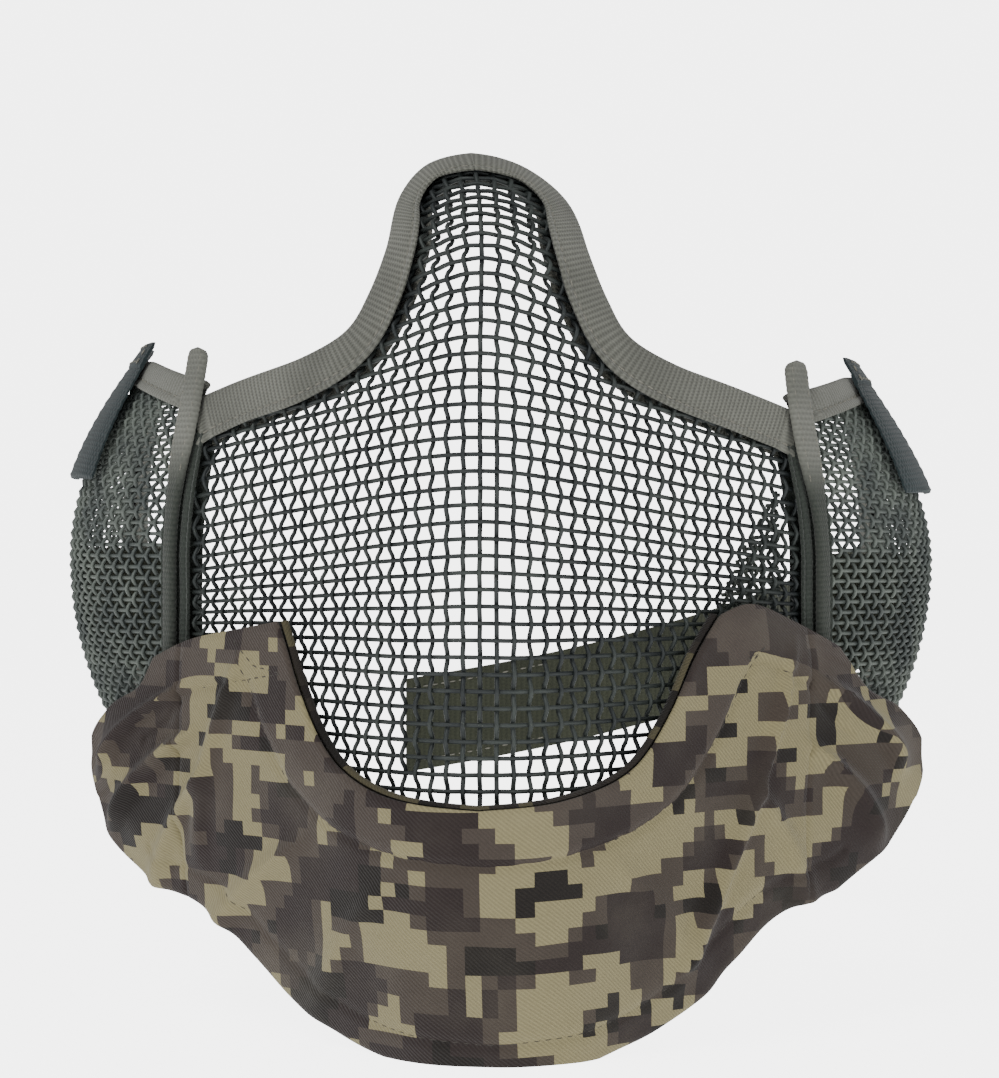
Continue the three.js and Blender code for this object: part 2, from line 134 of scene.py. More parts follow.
def uneven(u: Array, v: Array, scale: float, seed: int) -> Array:
    """A gentle unevenness from -1 to 1 over two lengths, the same on every run.

    Args:
        u: distance one way, in the unit of scale.
        v: distance the other way.
        scale: the size of its waves.
        seed: picks one unevenness among many.

    Returns:
        An array of the shape of u and v together.
    """
    pick = np.random.default_rng(seed)
    total = 0.0
    for _ in range(5):
        turn, phase, size = pick.uniform(0, math.tau), pick.uniform(0, math.tau), pick.uniform(0.6, 1.6)
        total = total + np.sin((u * math.cos(turn) + v * math.sin(turn)) * math.tau / (scale * size) + phase)
    return total / 5


@dataclass(frozen=True)
class Form:
    """The mask's form in millimetres: the face's surface, the ear guards' domes and all outlines."""

    nose_reach: float = 56
    top: float = 75
    bottom: float = -96
    half_width: float = 63.4
    seam_splay: float = 5
    cheek_top: float = 27.5
    jaw_corner: float = -58
    cheek_slope: float = 0.95
    nose_radius: float = 12
    nose_z: float = 24
    bridge_z: float = 50
    chin_z: float = -30
    nose_curve: float = 0.0068
    bridge_curve: float = 0.03
    chin_curve: float = 0.0042
    bridge_ridge: float = 14
    bridge_half_width: float = 19
    bridge_lean: float = 3.5
    side_tilt: float = 0.026
    seam_gap: float = 0.7
    hinge_out: float = 2.3
    ear_front: float = -5.9
    ear_centre_y: float = 38
    ear_rear: float = 82
    ear_centre_z: float = -4
    ear_half_height: float = 40
    ear_bulge: float = 31.5
    ear_rear_reach: float = 100
    ear_power: float = 2.1
    crown_loss: float = 0.38
    tuck_right: float = 4
    hinge_y: float = -8.5

    def side_edge(self, z: Array) -> Array:
        """The face's side edge at height z: its distance from the mid-plane."""
        return self.half_width - self.seam_splay * smoothstep(z, -5, self.cheek_top + 10)

    def depth(self, x: Array, z: Array) -> Array:
        """How far back the face's surface lies at (x, z)."""
        nose, bridge = np.maximum(0, z - self.nose_z), np.maximum(0, z - self.bridge_z)
        chin = np.maximum(0, self.chin_z - z)
        profile = self.nose_curve * nose**2 + self.bridge_curve * bridge**2 + self.chin_curve * chin**2
        cheek = self.cheek_slope * (np.cbrt(np.abs(x) ** 3 + self.nose_radius**3) - self.nose_radius)
        ridge = self.bridge_ridge * smoothstep(z, 5, 60) * (1 - np.exp(-((x / self.nose_radius) ** 2)))
        return profile + cheek + ridge - self.nose_reach

    def seam_lean(self, z: Array) -> Array:
        """How far the side edge lies behind where it is at mid-height."""
        return self.depth(self.side_edge(z), z) - self.depth(self.side_edge(0.0), 0.0)

    def face_point(self, x: Array, z: Array) -> Array:
        """The face's surface before the mask's set."""
        x, z = np.broadcast_arrays(np.asarray(x, float), np.asarray(z, float))
        return np.stack([x, self.depth(x, z), z], axis=-1)

    def ear_point(self, y: Array, z: Array) -> Array:
        """The right ear guard's dome before the mask's set."""
        y, z = np.broadcast_arrays(np.asarray(y, float), np.asarray(z, float))
        reach = np.where(y < self.ear_centre_y, self.ear_centre_y - self.ear_front, self.ear_rear_reach)
        along = (np.abs(y - self.ear_centre_y) / reach) ** self.ear_power
        up = (np.abs(z - self.ear_centre_z) / self.ear_half_height) ** self.ear_power
        bulge = self.ear_bulge * (1 - along) * (1 - self.crown_loss * up)
        return np.stack([self.side_edge(z) + self.seam_gap + bulge, y + self.seam_lean(z), z], axis=-1)

    @staticmethod
    def off(surface: Callable[[Array, Array], Array], u: Array, v: Array, w: Array) -> Array:
        """A surface's point moved out along its normal by w."""
        step = 0.01
        along_u = surface(u + step, v) - surface(u - step, v)
        along_v = surface(u, v + step) - surface(u, v - step)
        return surface(u, v) + unit(np.cross(along_u, along_v)) * np.asarray(w, float)[..., None]

    def set_askew(self, p: Array) -> Array:
        """The worn set of the mask: the bridge leans and one side sits lower."""
        x, z = p[..., 0], p[..., 2]
        lean = self.bridge_lean * (np.maximum(0, z - self.bridge_z) / (self.top - self.bridge_z)) ** 2
        return np.stack([x - lean, p[..., 1], z - self.side_tilt * x * smoothstep(z, -20, 30)], axis=-1)

    def face(self, x: Array, z: Array, w: Array) -> Array:
        """A point w outside the face at (x, z)."""
        return self.set_askew(self.off(self.face_point, np.asarray(x, float), np.asarray(z, float), w))

    def tucked(self, p: Array, side: Side) -> Array:
        """Points of the right-hand ear guard, placed on its side with its tuck and set."""
        turn = math.radians(self.tuck_right if side is Side.RIGHT else 0)
        x, y = p[..., 0] - self.half_width - self.hinge_out, p[..., 1] - self.hinge_y
        turned = np.stack([
            (x * math.cos(turn) - y * math.sin(turn) + self.half_width + self.hinge_out) * side.value,
            x * math.sin(turn) + y * math.cos(turn) + self.hinge_y,
            p[..., 2],
        ], axis=-1)
        return self.set_askew(turned)

    def ear(self, side: Side) -> Callable[[Array, Array, Array], Array]:
        """A function that gives a point w outside an ear guard at (y, z)."""
        return lambda y, z, w: self.tucked(
            self.off(self.ear_point, np.asarray(y, float), np.asarray(z, float), w), side)

    def shell_outline(self) -> Array:
        """The face's whole rim in (x, z), from the top middle round by +X."""
        half = self.bridge_half_width
        cheek_end = (float(self.side_edge(self.cheek_top)), self.cheek_top)
        bridge = spline([(0, self.top), (9, self.top - 2), (16, self.top - 9), (half, self.top - 20),
                         (half + 3.5, 46), (27, 39), (36, 34.5), (48, 31), cheek_end], 60)
        heights = np.arange(26, self.jaw_corner, -1.5)
        side = np.stack([self.side_edge(heights), heights], axis=1)
        jaw = spline([(self.half_width, self.jaw_corner), (52, -74), (38, -86), (20, -93.5),
                      (0, self.bottom)], 50)
        right = np.concatenate([bridge, side, jaw])
        return np.concatenate([right, (right[1:-1] * [-1, 1])[::-1]])

    def ear_outline(self) -> Array:
        """An ear guard's whole rim in (y, z), from its front top round by the rear."""
        top, bottom = self.ear_centre_z + self.ear_half_height, self.ear_centre_z - self.ear_half_height
        rim = spline([(self.ear_front, top - 5), (18, top), (44, top - 2), (68, 22), (self.ear_rear, 0),
                      (76, -24), (54, bottom + 2), (26, bottom), (self.ear_front, bottom + 3)], 110)
        front = np.stack([np.full(37, self.ear_front), np.linspace(bottom + 3, top - 5, 39)[1:-1]], axis=1)
        return np.concatenate([rim, front])


FORM = Form()


def inward(outline: Array, surface: Callable[[Array, Array], Array]) -> Array:
    """For each point of a closed clockwise outline, the step inwards that is 1 mm along the surface."""
    before, after = outline - np.roll(outline, 1, axis=0), np.roll(outline, -1, axis=0) - outline
    turned = [unit(np.stack([e[:, 1], -e[:, 0]], axis=1)) for e in (before, after)]
    mean = unit(turned[0] + turned[1])
    miter = 1 / np.clip((mean * turned[0]).sum(axis=1), 0.65, 1)
    beside = outline + mean * 0.05
    spread = np.linalg.norm(surface(*beside.T) - surface(*outline.T), axis=1) / 0.05
    return mean * (miter / spread)[:, None]


# ---- meshes -------------------------------------------------------------------------------------


def write_uv(mesh: bpy.types.Mesh, name: str, uv: Array) -> None:
    """Gives a mesh a map of places, one pair for each vertex."""
    layer = mesh.uv_layers.new(name=name)
    index = np.zeros(len(mesh.loops), np.int32)
    mesh.loops.foreach_get("vertex_index", index)
    layer.data.foreach_set("uv", np.asarray(uv, np.float32)[index].ravel())


def linked(name: str, data: Any) -> bpy.types.Object:
    """A new object in the scene, at the origin."""
    thing = bpy.data.objects.new(name, data)
    bpy.context.scene.collection.objects.link(thing)
    return thing


def mesh_piece(name: str, points: Array, faces: Iterable[Sequence[int]],
               uv: Optional[Array] = None) -> bpy.types.Object:
    """A new mesh object from points in millimetres, in place at the origin.

    Args:
        name: the piece's name.
        points: its vertices, one row each.
        faces: each face's vertex numbers.
        uv: one pair in metres for each vertex, where the finish follows the surface.

    Returns:
        The linked object, smooth except at sharp turns.
    """
    mesh = bpy.data.meshes.new(name)
    mesh.from_pydata((np.asarray(points) * MM).tolist(), [], [list(map(int, f)) for f in faces])
    if uv is not None:
        write_uv(mesh, "cloth", uv)
    mesh.polygons.foreach_set("use_smooth", [True] * len(mesh.polygons))
    mesh.set_sharp_from_angle(angle=math.radians(SHARP_ANGLE))
    return linked(name, mesh)


def loft(name: str, rings: Array, uv: Array) -> bpy.types.Object:
    """A body through rings of points, capped at both ends, with its faces outwards.

    Args:
        name: the piece's name.
        rings: (stations, points of a ring, 3), in millimetres.
        uv: (stations, points of a ring, 2), in metres.

    Returns:
        The new object.
    """
    count, size = rings.shape[:2]
    station, k = np.meshgrid(np.arange(count - 1), np.arange(size), indexing="ij")
    here, after, around = station * size, (station + 1) * size, (k + 1) % size
    quads = np.stack([here + k, after + k, after + around, here + around], axis=-1).reshape(-1, 4)
    flat = rings.reshape(-1, 3)
    a, b, c, d = (flat[quads[:, i]] for i in range(4))
    volume = (np.cross(b - a, c - a) * (a + b + c) + np.cross(c - a, d - a) * (a + c + d)).sum()
    faces = [*quads, list(range(size)), list(range((count - 1) * size, count * size))[::-1]]
    if volume < 0:
        faces = [list(f)[::-1] for f in faces]
    return mesh_piece(name, flat, faces, uv.reshape(-1, 2))


def thick_sheet(name: str, place: Callable[[Array, Array, Array], Array], u: Array, v: Array, w: Array,
                half: float, uv: Array) -> bpy.types.Object:
    """A sheet of cloth with two faces and soft edges.

    Args:
        name: the piece's name.
        place: gives a point from two surface coordinates and a height over the surface.
        u: first surface coordinates, a grid.
        v: second surface coordinates, a grid.
        w: height of the cloth's middle over the surface, a grid.
        half: half the cloth's thickness.
        uv: (rows, columns, 2) places on the flat cloth, in metres.

    Returns:
        The new object, closed.
    """
    shape = np.concatenate([[SOFT_EDGE], np.ones(u.shape[0] - 2), [SOFT_EDGE]])[:, None] * half
    lip = np.concatenate([[SOFT_EDGE], np.ones(u.shape[1] - 2), [SOFT_EDGE]])[None, :]
    outer, inner = place(u, v, w + shape * lip), place(u, v, w - shape * lip)
    rings = np.concatenate([outer, inner[:, ::-1]], axis=1)
    return loft(name, rings, np.concatenate([uv, uv[:, ::-1]], axis=1))


def flat_uv(points: Array) -> Array:
    """Places on the flat cloth for a grid of points, from the distances run along its rows and columns."""
    run = [np.cumsum(np.linalg.norm(np.diff(points, axis=k), axis=2), axis=k) for k in (0, 1)]
    return np.stack([np.pad(run[0], ((1, 0), (0, 0))), np.pad(run[1], ((0, 0), (1, 0)))], axis=-1) * MM


# ---- geometry nodes -----------------------------------------------------------------------------


class Tree:
    """A geometry node group with one mesh in, one mesh out and named inputs for its sizes."""

    def __init__(self, name: str, sizes: dict[str, float]) -> None:
        """Starts a group.

        Args:
            name: the group's name.
            sizes: each named input with its default.
        """
        self.group = bpy.data.node_groups.new(name, "GeometryNodeTree")
        face = self.group.interface
        face.new_socket("Geometry", in_out="INPUT", socket_type="NodeSocketGeometry")
        for size, value in sizes.items():
            face.new_socket(size, in_out="INPUT", socket_type="NodeSocketFloat").default_value = value
        face.new_socket("Finish", in_out="INPUT", socket_type="NodeSocketMaterial")
        face.new_socket("Geometry", in_out="OUTPUT", socket_type="NodeSocketGeometry")
        self.start = self.group.nodes.new("NodeGroupInput")
        self.end = self.group.nodes.new("NodeGroupOutput")

    def size(self, name: str) -> bpy.types.NodeSocket:
        """One of the group's named inputs."""
        return self.start.outputs[name]

    def add(self, kind: str, inputs: dict[str, Any], settings: Optional[dict[str, Any]] = None,
            output: Union[int, str] = 0) -> bpy.types.NodeSocket:
        """Adds a node.

        Args:
            kind: the node's type.
            inputs: a value or a socket for each named input.
            settings: the node's own options, set first.
            output: which output to return.

        Returns:
            The output socket.
        """
        node = self.group.nodes.new(kind)
        for key, value in (settings or {}).items():
            setattr(node, key, value)
        for key, value in inputs.items():
            target = next(s for s in node.inputs if s.name == key and s.enabled)
            if isinstance(value, bpy.types.NodeSocket):
                self.group.links.new(value, target)
            else:
                target.default_value = value
        return node.outputs[output]

    def close(self, geometry: bpy.types.NodeSocket) -> None:
        """Ends the group with real geometry in its finish."""
        real = self.add("GeometryNodeRealizeInstances", {"Geometry": geometry})
        finished = self.add("GeometryNodeSetMaterial", {"Geometry": real, "Material": self.size("Finish")})
        self.group.links.new(finished, self.end.inputs[0])

    def grow(self, name: str, lines: Sequence[Array], sizes: dict[str, float],
             finish: bpy.types.Material) -> bpy.types.Object:
        """Runs the group over lines of points and keeps the plain mesh that comes out.

        Args:
            name: the new piece's name.
            lines: polylines in millimetres.
            sizes: values for the named inputs.
            finish: the material.

        Returns:
            A plain mesh object with no modifier.
        """
        starts = np.cumsum([0] + [len(line) for line in lines])
        edges = [(i, i + 1) for a, b in zip(starts[:-1], starts[1:]) for i in range(a, b - 1)]
        mesh = bpy.data.meshes.new(name + "_lines")
        mesh.from_pydata((np.concatenate(lines) * MM).tolist(), edges, [])
        carrier = linked(name + "_lines", mesh)
        modifier = carrier.modifiers.new("grow", "NODES")
        modifier.node_group = self.group
        values: dict[str, Any] = {**sizes, "Finish": finish}
        for item in self.group.interface.items_tree:
            if item.in_out == "INPUT" and item.name in values:
                modifier[item.identifier] = values[item.name]
        evaluated = carrier.evaluated_get(bpy.context.evaluated_depsgraph_get())
        grown = bpy.data.meshes.new_from_object(evaluated)
        grown.name = name
        piece = linked(name, grown)
        bpy.data.objects.remove(carrier, do_unlink=True)
        return piece


def wire_tree() -> Tree:
    """Round wires along lines."""
    tree = Tree("round_wires", {"Radius": 0.00042})
    curve = tree.add("GeometryNodeMeshToCurve", {"Mesh": tree.size("Geometry")})
    ring = tree.add("GeometryNodeCurvePrimitiveCircle", {"Resolution": 6, "Radius": tree.size("Radius")})
    tube = tree.add("GeometryNodeCurveToMesh", {"Curve": curve, "Profile Curve": ring, "Fill Caps": True})
    tree.close(tree.add("GeometryNodeSetShadeSmooth", {"Geometry": tube, "Shade Smooth": True}))
    return tree


def stitch_tree() -> Tree:
    """Short raised stitches one after another along lines."""
    tree = Tree("stitches", {"Spacing": 0.0024, "Stitch": 0.0017, "Thread": 0.00022})
    curve = tree.add("GeometryNodeMeshToCurve", {"Mesh": tree.size("Geometry")})
    places = tree.add("GeometryNodeCurveToPoints", {"Curve": curve, "Length": tree.size("Spacing")},
                      {"mode": "LENGTH"})
    spot = tree.group.nodes[-1]
    thread = tree.add("GeometryNodeMeshUVSphere", {"Segments": 6, "Rings": 4, "Radius": 0.5})
    shape = tree.add("ShaderNodeCombineXYZ",
                     {"X": tree.size("Stitch"), "Y": tree.size("Thread"), "Z": tree.size("Thread")})
    turn = tree.add("FunctionNodeAlignRotationToVector", {"Vector": spot.outputs["Tangent"]}, {"axis": "X"})
    laid = tree.add("GeometryNodeInstanceOnPoints",
                    {"Points": places, "Instance": thread, "Rotation": turn, "Scale": shape})
    tree.close(laid)
    return tree


# ---- finishes -----------------------------------------------------------------------------------


def rgb(red: int, green: int, blue: int) -> tuple[float, float, float, float]:
    """A colour as a maker's chart gives it, from 0 to 255, as linear light."""
    def linear(c: float) -> float:
        """One channel as linear light."""
        return c / 12.92 if c <= 0.04045 else ((c + 0.055) / 1.055) ** 2.4
    return (linear(red / 255), linear(green / 255), linear(blue / 255), 1.0)


def operator(name: str, turned: bool = False) -> Callable[["Value", Any], "Value"]:
    """A Python operator that adds one Math node; a turned one has this value second."""
    def work(self: "Value", other: Any) -> "Value":
        """The node over this value and the other."""
        return self.math(name, *((other, self) if turned else (self, other)))
    return work


class Value:
    """A shader socket that takes part in Python arithmetic; each operation adds a Math node."""

    def __init__(self, graph: "Graph", socket: bpy.types.NodeSocket) -> None:
        """Wraps a socket of a graph."""
        self.graph, self.socket = graph, socket

    def math(self, operation: str, *values: Any) -> "Value":
        """One Math node over some values."""
        return self.graph.node("ShaderNodeMath", {"operation": operation}, dict(enumerate(values)))

    __add__, __radd__ = operator("ADD"), operator("ADD", turned=True)
    __sub__, __rsub__ = operator("SUBTRACT"), operator("SUBTRACT", turned=True)
    __mul__, __rmul__ = operator("MULTIPLY"), operator("MULTIPLY", turned=True)
    __truediv__, __gt__ = operator("DIVIDE"), operator("GREATER_THAN")

    def floor(self) -> "Value":
        """The whole number below."""
        return self.math("FLOOR", self)

    def sine(self) -> "Value":
        """The sine of an angle in radians."""
        return self.math("SINE", self)

    def wave(self, pitch: float) -> "Value":
        """A smooth wave from 0 to 1 that repeats each pitch."""
        return (self * (math.tau / pitch)).sine() * 0.5 + 0.5

    def ramp(self, low: float, high: float) -> "Value":
        """A smooth rise from 0 at low to 1 at high."""
        return self.graph.node("ShaderNodeMapRange", {"interpolation_type": "SMOOTHSTEP"},
                               {"Value": self, "From Min": low, "From Max": high})


class Graph:
    """One material's nodes."""

    def __init__(self, name: str) -> None:
        """Starts a material with an empty Principled shader."""
        self.material = bpy.data.materials.new(name)
        self.material.use_nodes = True
        self.tree = self.material.node_tree
        self.shader = next(n for n in self.tree.nodes if n.type == "BSDF_PRINCIPLED")

    def node(self, kind: str, settings: dict[str, Any], inputs: dict[Any, Any],
             output: Union[int, str] = 0) -> Value:
        """Adds any node.

        Args:
            kind: the node's type.
            settings: its options, set first.
            inputs: values or links for its sockets, by number, name or identifier.
            output: which output to return.

        Returns:
            The output as a value.
        """
        node = self.tree.nodes.new(kind)
        for key, value in settings.items():
            setattr(node, key, value)
        for key, value in inputs.items():
            target = node.inputs[key] if isinstance(key, int) else next(
                s for s in node.inputs if key in (s.identifier, s.name) and s.enabled)
            if isinstance(value, Value):
                self.tree.links.new(value.socket, target)
            else:
                target.default_value = value
        found = node.outputs[output] if isinstance(output, int) else next(
            s for s in node.outputs if output in (s.identifier, s.name) and s.enabled)
        return Value(self, found)

    def cloth(self) -> tuple[Value, Value]:
        """The place on the flat cloth, in metres along and across."""
        place = self.node("ShaderNodeUVMap", {"uv_map": "cloth"}, {})
        split = "ShaderNodeSeparateXYZ"
        return self.node(split, {}, {"Vector": place}, "X"), self.node(split, {}, {"Vector": place}, "Y")

    def noise(self, scale: float, detail: float = 3, vector: Optional[Value] = None) -> Value:
        """A noise from 0 to 1 over the piece's own space or over a given vector."""
        if vector is None:
            vector = self.node("ShaderNodeTexCoord", {}, {}, "Object")
        output = "Factor" if bpy.app.version >= (5, 0, 0) else "Fac"
        return self.node("ShaderNodeTexNoise", {}, {"Vector": vector, "Scale": scale, "Detail": detail}, output)

    def mix(self, factor: Any, first: Any, second: Any, blend: str = "MIX") -> Value:
        """Two colours mixed."""
        return self.node("ShaderNodeMix", {"data_type": "RGBA", "blend_type": blend},
                         {"Factor_Float": factor, "A_Color": first, "B_Color": second}, "Result_Color")

    def set(self, name: str, value: Any) -> None:
        """Sets or links one of the shader's sockets."""
        if isinstance(value, Value):
            self.tree.links.new(value.socket, self.shader.inputs[name])
        else:
            self.shader.inputs[name].default_value = value

    def bump(self, height: Value, distance: float, strength: float = 1.0) -> None:
        """Raises the surface by a height from 0 to 1 times a distance in metres."""
        self.set("Normal", self.node("ShaderNodeBump", {}, {
            "Height": height, "Distance": distance, "Strength": strength}, "Normal"))


@dataclass(frozen=True)
class WireCoat:
    """A satin coat over steel wire, worn a little on its high spots."""

    name: str = "wire_coat"
    coat: tuple[int, int, int] = (56, 62, 59)
    shade: tuple[int, int, int] = (34, 39, 40)
    worn: tuple[int, int, int] = (112, 118, 108)

    def make(self) -> bpy.types.Material:
        """Builds the material."""
        g = Graph(self.name)
        patches, grain = g.noise(90, 4), g.noise(2600, 2)
        colour = g.mix(patches.ramp(0.35, 0.7), rgb(*self.shade), rgb(*self.coat))
        wear = grain.ramp(0.6, 0.78) * g.noise(160, 2).ramp(0.5, 0.7)
        g.set("Base Color", g.mix(wear * 0.7, colour, rgb(*self.worn)))
        g.set("Roughness", 0.42 + grain * 0.22)
        g.set("Metallic", 0.25)
        g.set("Specular IOR Level", 0.5)
        g.bump(grain, 0.00006)
        return g.material


@dataclass(frozen=True)
class Webbing:
    """Woven webbing: ribs across its length, threads along it and rubbed spots.

    The cloth's first coordinate runs along the webbing and its second across it.
    """

    name: str
    yarn: tuple[int, int, int]
    # Colour of the soiling and also of the painted shade in the gaps of the weave.
    dark: tuple[int, int, int]
    rib: float = 0.00105
    thread: float = 0.0008
    relief: float = 0.00022
    # How strongly the gaps of the weave are darkened: painted shade between ribs and threads.
    gap: float = 0.5
    # Where along the webbing a painted shade begins: past it the yarn turns dark, standing in for the shade
    # over the tape's lower part.
    darkens: Optional[float] = None

    def make(self) -> bpy.types.Material:
        """Builds the material."""
        g = Graph(self.name)
        along, across = g.cloth()
        fray = g.noise(900, 3)
        ribs = (along + fray * 0.00018).wave(self.rib)
        threads = (across + (along / self.rib).floor() * (self.thread / 2)).wave(self.thread)
        weave = ribs * 0.65 + threads * 0.35
        soil = g.noise(55, 3).ramp(0.3, 0.75)
        yarn = g.mix(soil * 0.45, rgb(*self.yarn), rgb(*self.dark))
        # Painted shade: past that point the yarn is mixed towards dark grey-green, for the shade over the
        # tape's lower part.
        if self.darkens is not None:
            yarn = g.mix(along.ramp(self.darkens, self.darkens + 0.012), yarn, rgb(50, 55, 50))
        # Painted shade: the low places of the weave are mixed towards the dark yarn colour.
        g.set("Base Color", g.mix((1 - weave) * self.gap, yarn, rgb(*self.dark)))
        g.set("Roughness", 0.82 + fray * 0.14)
        g.set("Sheen Weight", 0.15)
        g.set("Specular IOR Level", 0.25)
        g.bump(weave * 0.8 + fray * 0.2, self.relief)
        return g.material


@dataclass(frozen=True)
class Camouflage:
    """Printed twill in blocks of a few millimetres, in four dusty colours."""

    name: str = "camouflage_twill"
    block: float = 0.0027
    khaki: tuple[int, int, int] = (144, 136, 102)
    grey: tuple[int, int, int] = (70, 62, 55)
    plum: tuple[int, int, int] = (44, 36, 35)
    dark: tuple[int, int, int] = (28, 25, 23)
    # Share of the print's colour kept; the rest is painted shade towards near black.
    fade: float = 1.0
    hem: float = 0.0

    def make(self) -> bpy.types.Material:
        """Builds the material."""
        g = Graph(self.name)
        along, across = g.cloth()

        def blocks(size: float, shift: float) -> Value:
            """Places that stay the same over each printed block, shifted to tell one layer from the next."""
            return g.node("ShaderNodeCombineXYZ", {}, {
                "X": (along / size).floor() * size + shift,
                "Y": ((across / size).floor() * size) * 1.35 + shift, "Z": shift})

        first = g.noise(62, 1.5, blocks(self.block, 0.11))
        second = g.noise(70, 1.5, blocks(self.block, 1.37))
        third = g.noise(95, 1, blocks(self.block, 2.71))
        colour = g.mix(first > 0.535, rgb(*self.grey), rgb(*self.khaki))
        colour = g.mix((0.46 - first) > 0.0, colour, rgb(*self.plum))
        colour = g.mix(second > 0.585, colour, rgb(*self.dark))
        colour = g.mix((third > 0.62) * (second > 0.46), colour, rgb(*self.khaki))
        if self.hem:
            place = g.node("ShaderNodeUVMap", {"uv_map": "edge"}, {})
            from_edge = g.node("ShaderNodeSeparateXYZ", {}, {"Vector": place}, "X")
            facing = g.mix(second > 0.5, rgb(*self.plum), rgb(72, 64, 58))
            facing = g.mix(third > 0.6, facing, rgb(*self.khaki))
            colour = g.mix(from_edge > self.hem, facing, colour)
        fluff = g.noise(1400, 3)
        twill = (along + across).wave(0.00085)
        worn = g.noise(40, 4)
        # Painted shade in the twill's valleys, together with random fluff tone, darkens the print towards
        # brown.
        colour = g.mix((1 - twill) * 0.22 + fluff * 0.12, colour, rgb(52, 46, 42))
        colour = g.mix(worn.ramp(0.45, 0.75) * 0.1, colour, rgb(150, 144, 128))
        # Painted shade: below a share of 1 the print is mixed towards near black.
        g.set("Base Color", g.mix(1 - self.fade, colour, rgb(24, 22, 20)) if self.fade < 1 else colour)
        g.set("Roughness", 0.84 + fluff * 0.14)
        g.set("Sheen Weight", 0.12)
        g.set("Specular IOR Level", 0.2)
        g.bump(twill * 0.6 + fluff * 0.4, 0.00016)
        return g.material


@dataclass(frozen=True)
class HookTape:
    """Hook and loop tape: a dense field of small tufts."""

    name: str = "hook_tape"
    pile: tuple[int, int, int] = (66, 68, 62)

    def make(self) -> bpy.types.Material:
        """Builds the material."""
        g = Graph(self.name)
        place = g.node("ShaderNodeTexCoord", {}, {}, "Object")
        tufts = g.node("ShaderNodeTexVoronoi", {}, {"Vector": place, "Scale": 900.0}, "Distance")
        tips = 1 - tufts
        # Painted shade: darker between the tufts, lighter on their tips.
        g.set("Base Color", g.mix(tips.ramp(0.3, 0.9), rgb(26, 28, 26), rgb(*self.pile)))
        g.set("Roughness", 0.9 - tips * 0.15)
        g.set("Sheen Weight", 0.2)
        g.bump(tips, 0.0005)
        return g.material


@dataclass(frozen=True)
class Thread:
    """Twisted sewing thread."""

    name: str
    colour: tuple[int, int, int]

    def make(self) -> bpy.types.Material:
        """Builds the material."""
        g = Graph(self.name)
        twist = g.noise(3200, 2)
        g.set("Base Color", g.mix(twist, rgb(*self.colour), rgb(40, 40, 36)))
        g.set("Roughness", 0.7 + twist * 0.2)
        g.bump(twist, 0.00005)
        return g.material


@dataclass(frozen=True)
class Floor:
    """A plain pale studio floor."""

    name: str = "studio_floor"
    white: float = 4.55
    plain: float = 0.22

    def make(self) -> bpy.types.Material:
        """Builds the material."""
        g = Graph(self.name)
        seen = g.node("ShaderNodeLightPath", {}, {}, "Is Camera Ray")
        g.set("Base Color", (0.9, 0.9, 0.9, 1))
        g.set("Emission Color", g.mix(seen, (self.plain, self.plain, self.plain, 1), (1, 1, 1, 1)))
        g.set("Emission Strength", self.white)
        g.set("Roughness", 0.9)
        return g.material


def made(finish: Any) -> Any:
    """A dataclass field that holds a finish's material."""
    return field(default_factory=finish.make)


@dataclass
class Finishes:
    """Every finish of the mask, made once."""

    wire: bpy.types.Material = made(WireCoat())
    fine_wire: bpy.types.Material = made(
        WireCoat("fine_wire_coat", (104, 111, 104), (72, 78, 76), (142, 146, 136)))
    edge: bpy.types.Material = made(
        Webbing("edge_webbing", (128, 129, 120), (62, 63, 57), gap=0.75, relief=0.0003))
    seam: bpy.types.Material = made(Webbing("seam_webbing", (60, 66, 60), (38, 42, 39)))
    tape: bpy.types.Material = made(Webbing("trim_tape", (122, 123, 115), (80, 81, 75)))
    # The hinge tape's lower part is darkened as painted shade.
    hinge: bpy.types.Material = made(Webbing("hinge_tape", (122, 123, 115), (74, 76, 70), darkens=0.008))
    strap: bpy.types.Material = made(Webbing("strap_webbing", (42, 54, 56), (24, 31, 33), thread=0.0012))
    elastic: bpy.types.Material = made(Webbing("strap_elastic", (66, 69, 55), (38, 41, 33), 0.0014, 0.001))
    hook: bpy.types.Material = made(HookTape())
    cover: bpy.types.Material = made(Camouflage(hem=0.0099))
    # The turned-in hems get the print darkened with painted shade, as the shaded inside of the cover.
    hem: bpy.types.Material = made(Camouflage(name="camouflage_lining", fade=0.3))
    pale_thread: bpy.types.Material = made(Thread("pale_thread", (158, 156, 144)))
    dark_thread: bpy.types.Material = made(Thread("dark_thread", (78, 72, 66)))


def dress(piece: bpy.types.Object, finish: bpy.types.Material) -> None:
    """Gives a piece one finish."""
    piece.data.materials.clear()
    piece.data.materials.append(finish)


def fit(piece: bpy.types.Object, slot: str, body: str, *nodes: str,
        finish: Optional[bpy.types.Material] = None) -> bpy.types.Object:
    """Puts a piece in the frame.

    Args:
        piece: the piece.
        slot: the record's material slot; not used.
        body: the body that it rides on, or nothing where it bends between two.
        nodes: the CAD nodes it stands for.
        finish: its finish, where it has none yet.

    Returns:
        The same piece.
    """
    if finish:
        dress(piece, finish)
    if nodes:
        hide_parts(*nodes)
    if body:
        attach(piece, body)
    return piece


# ---- sub-assemblies -----------------------------------------------------------------------------


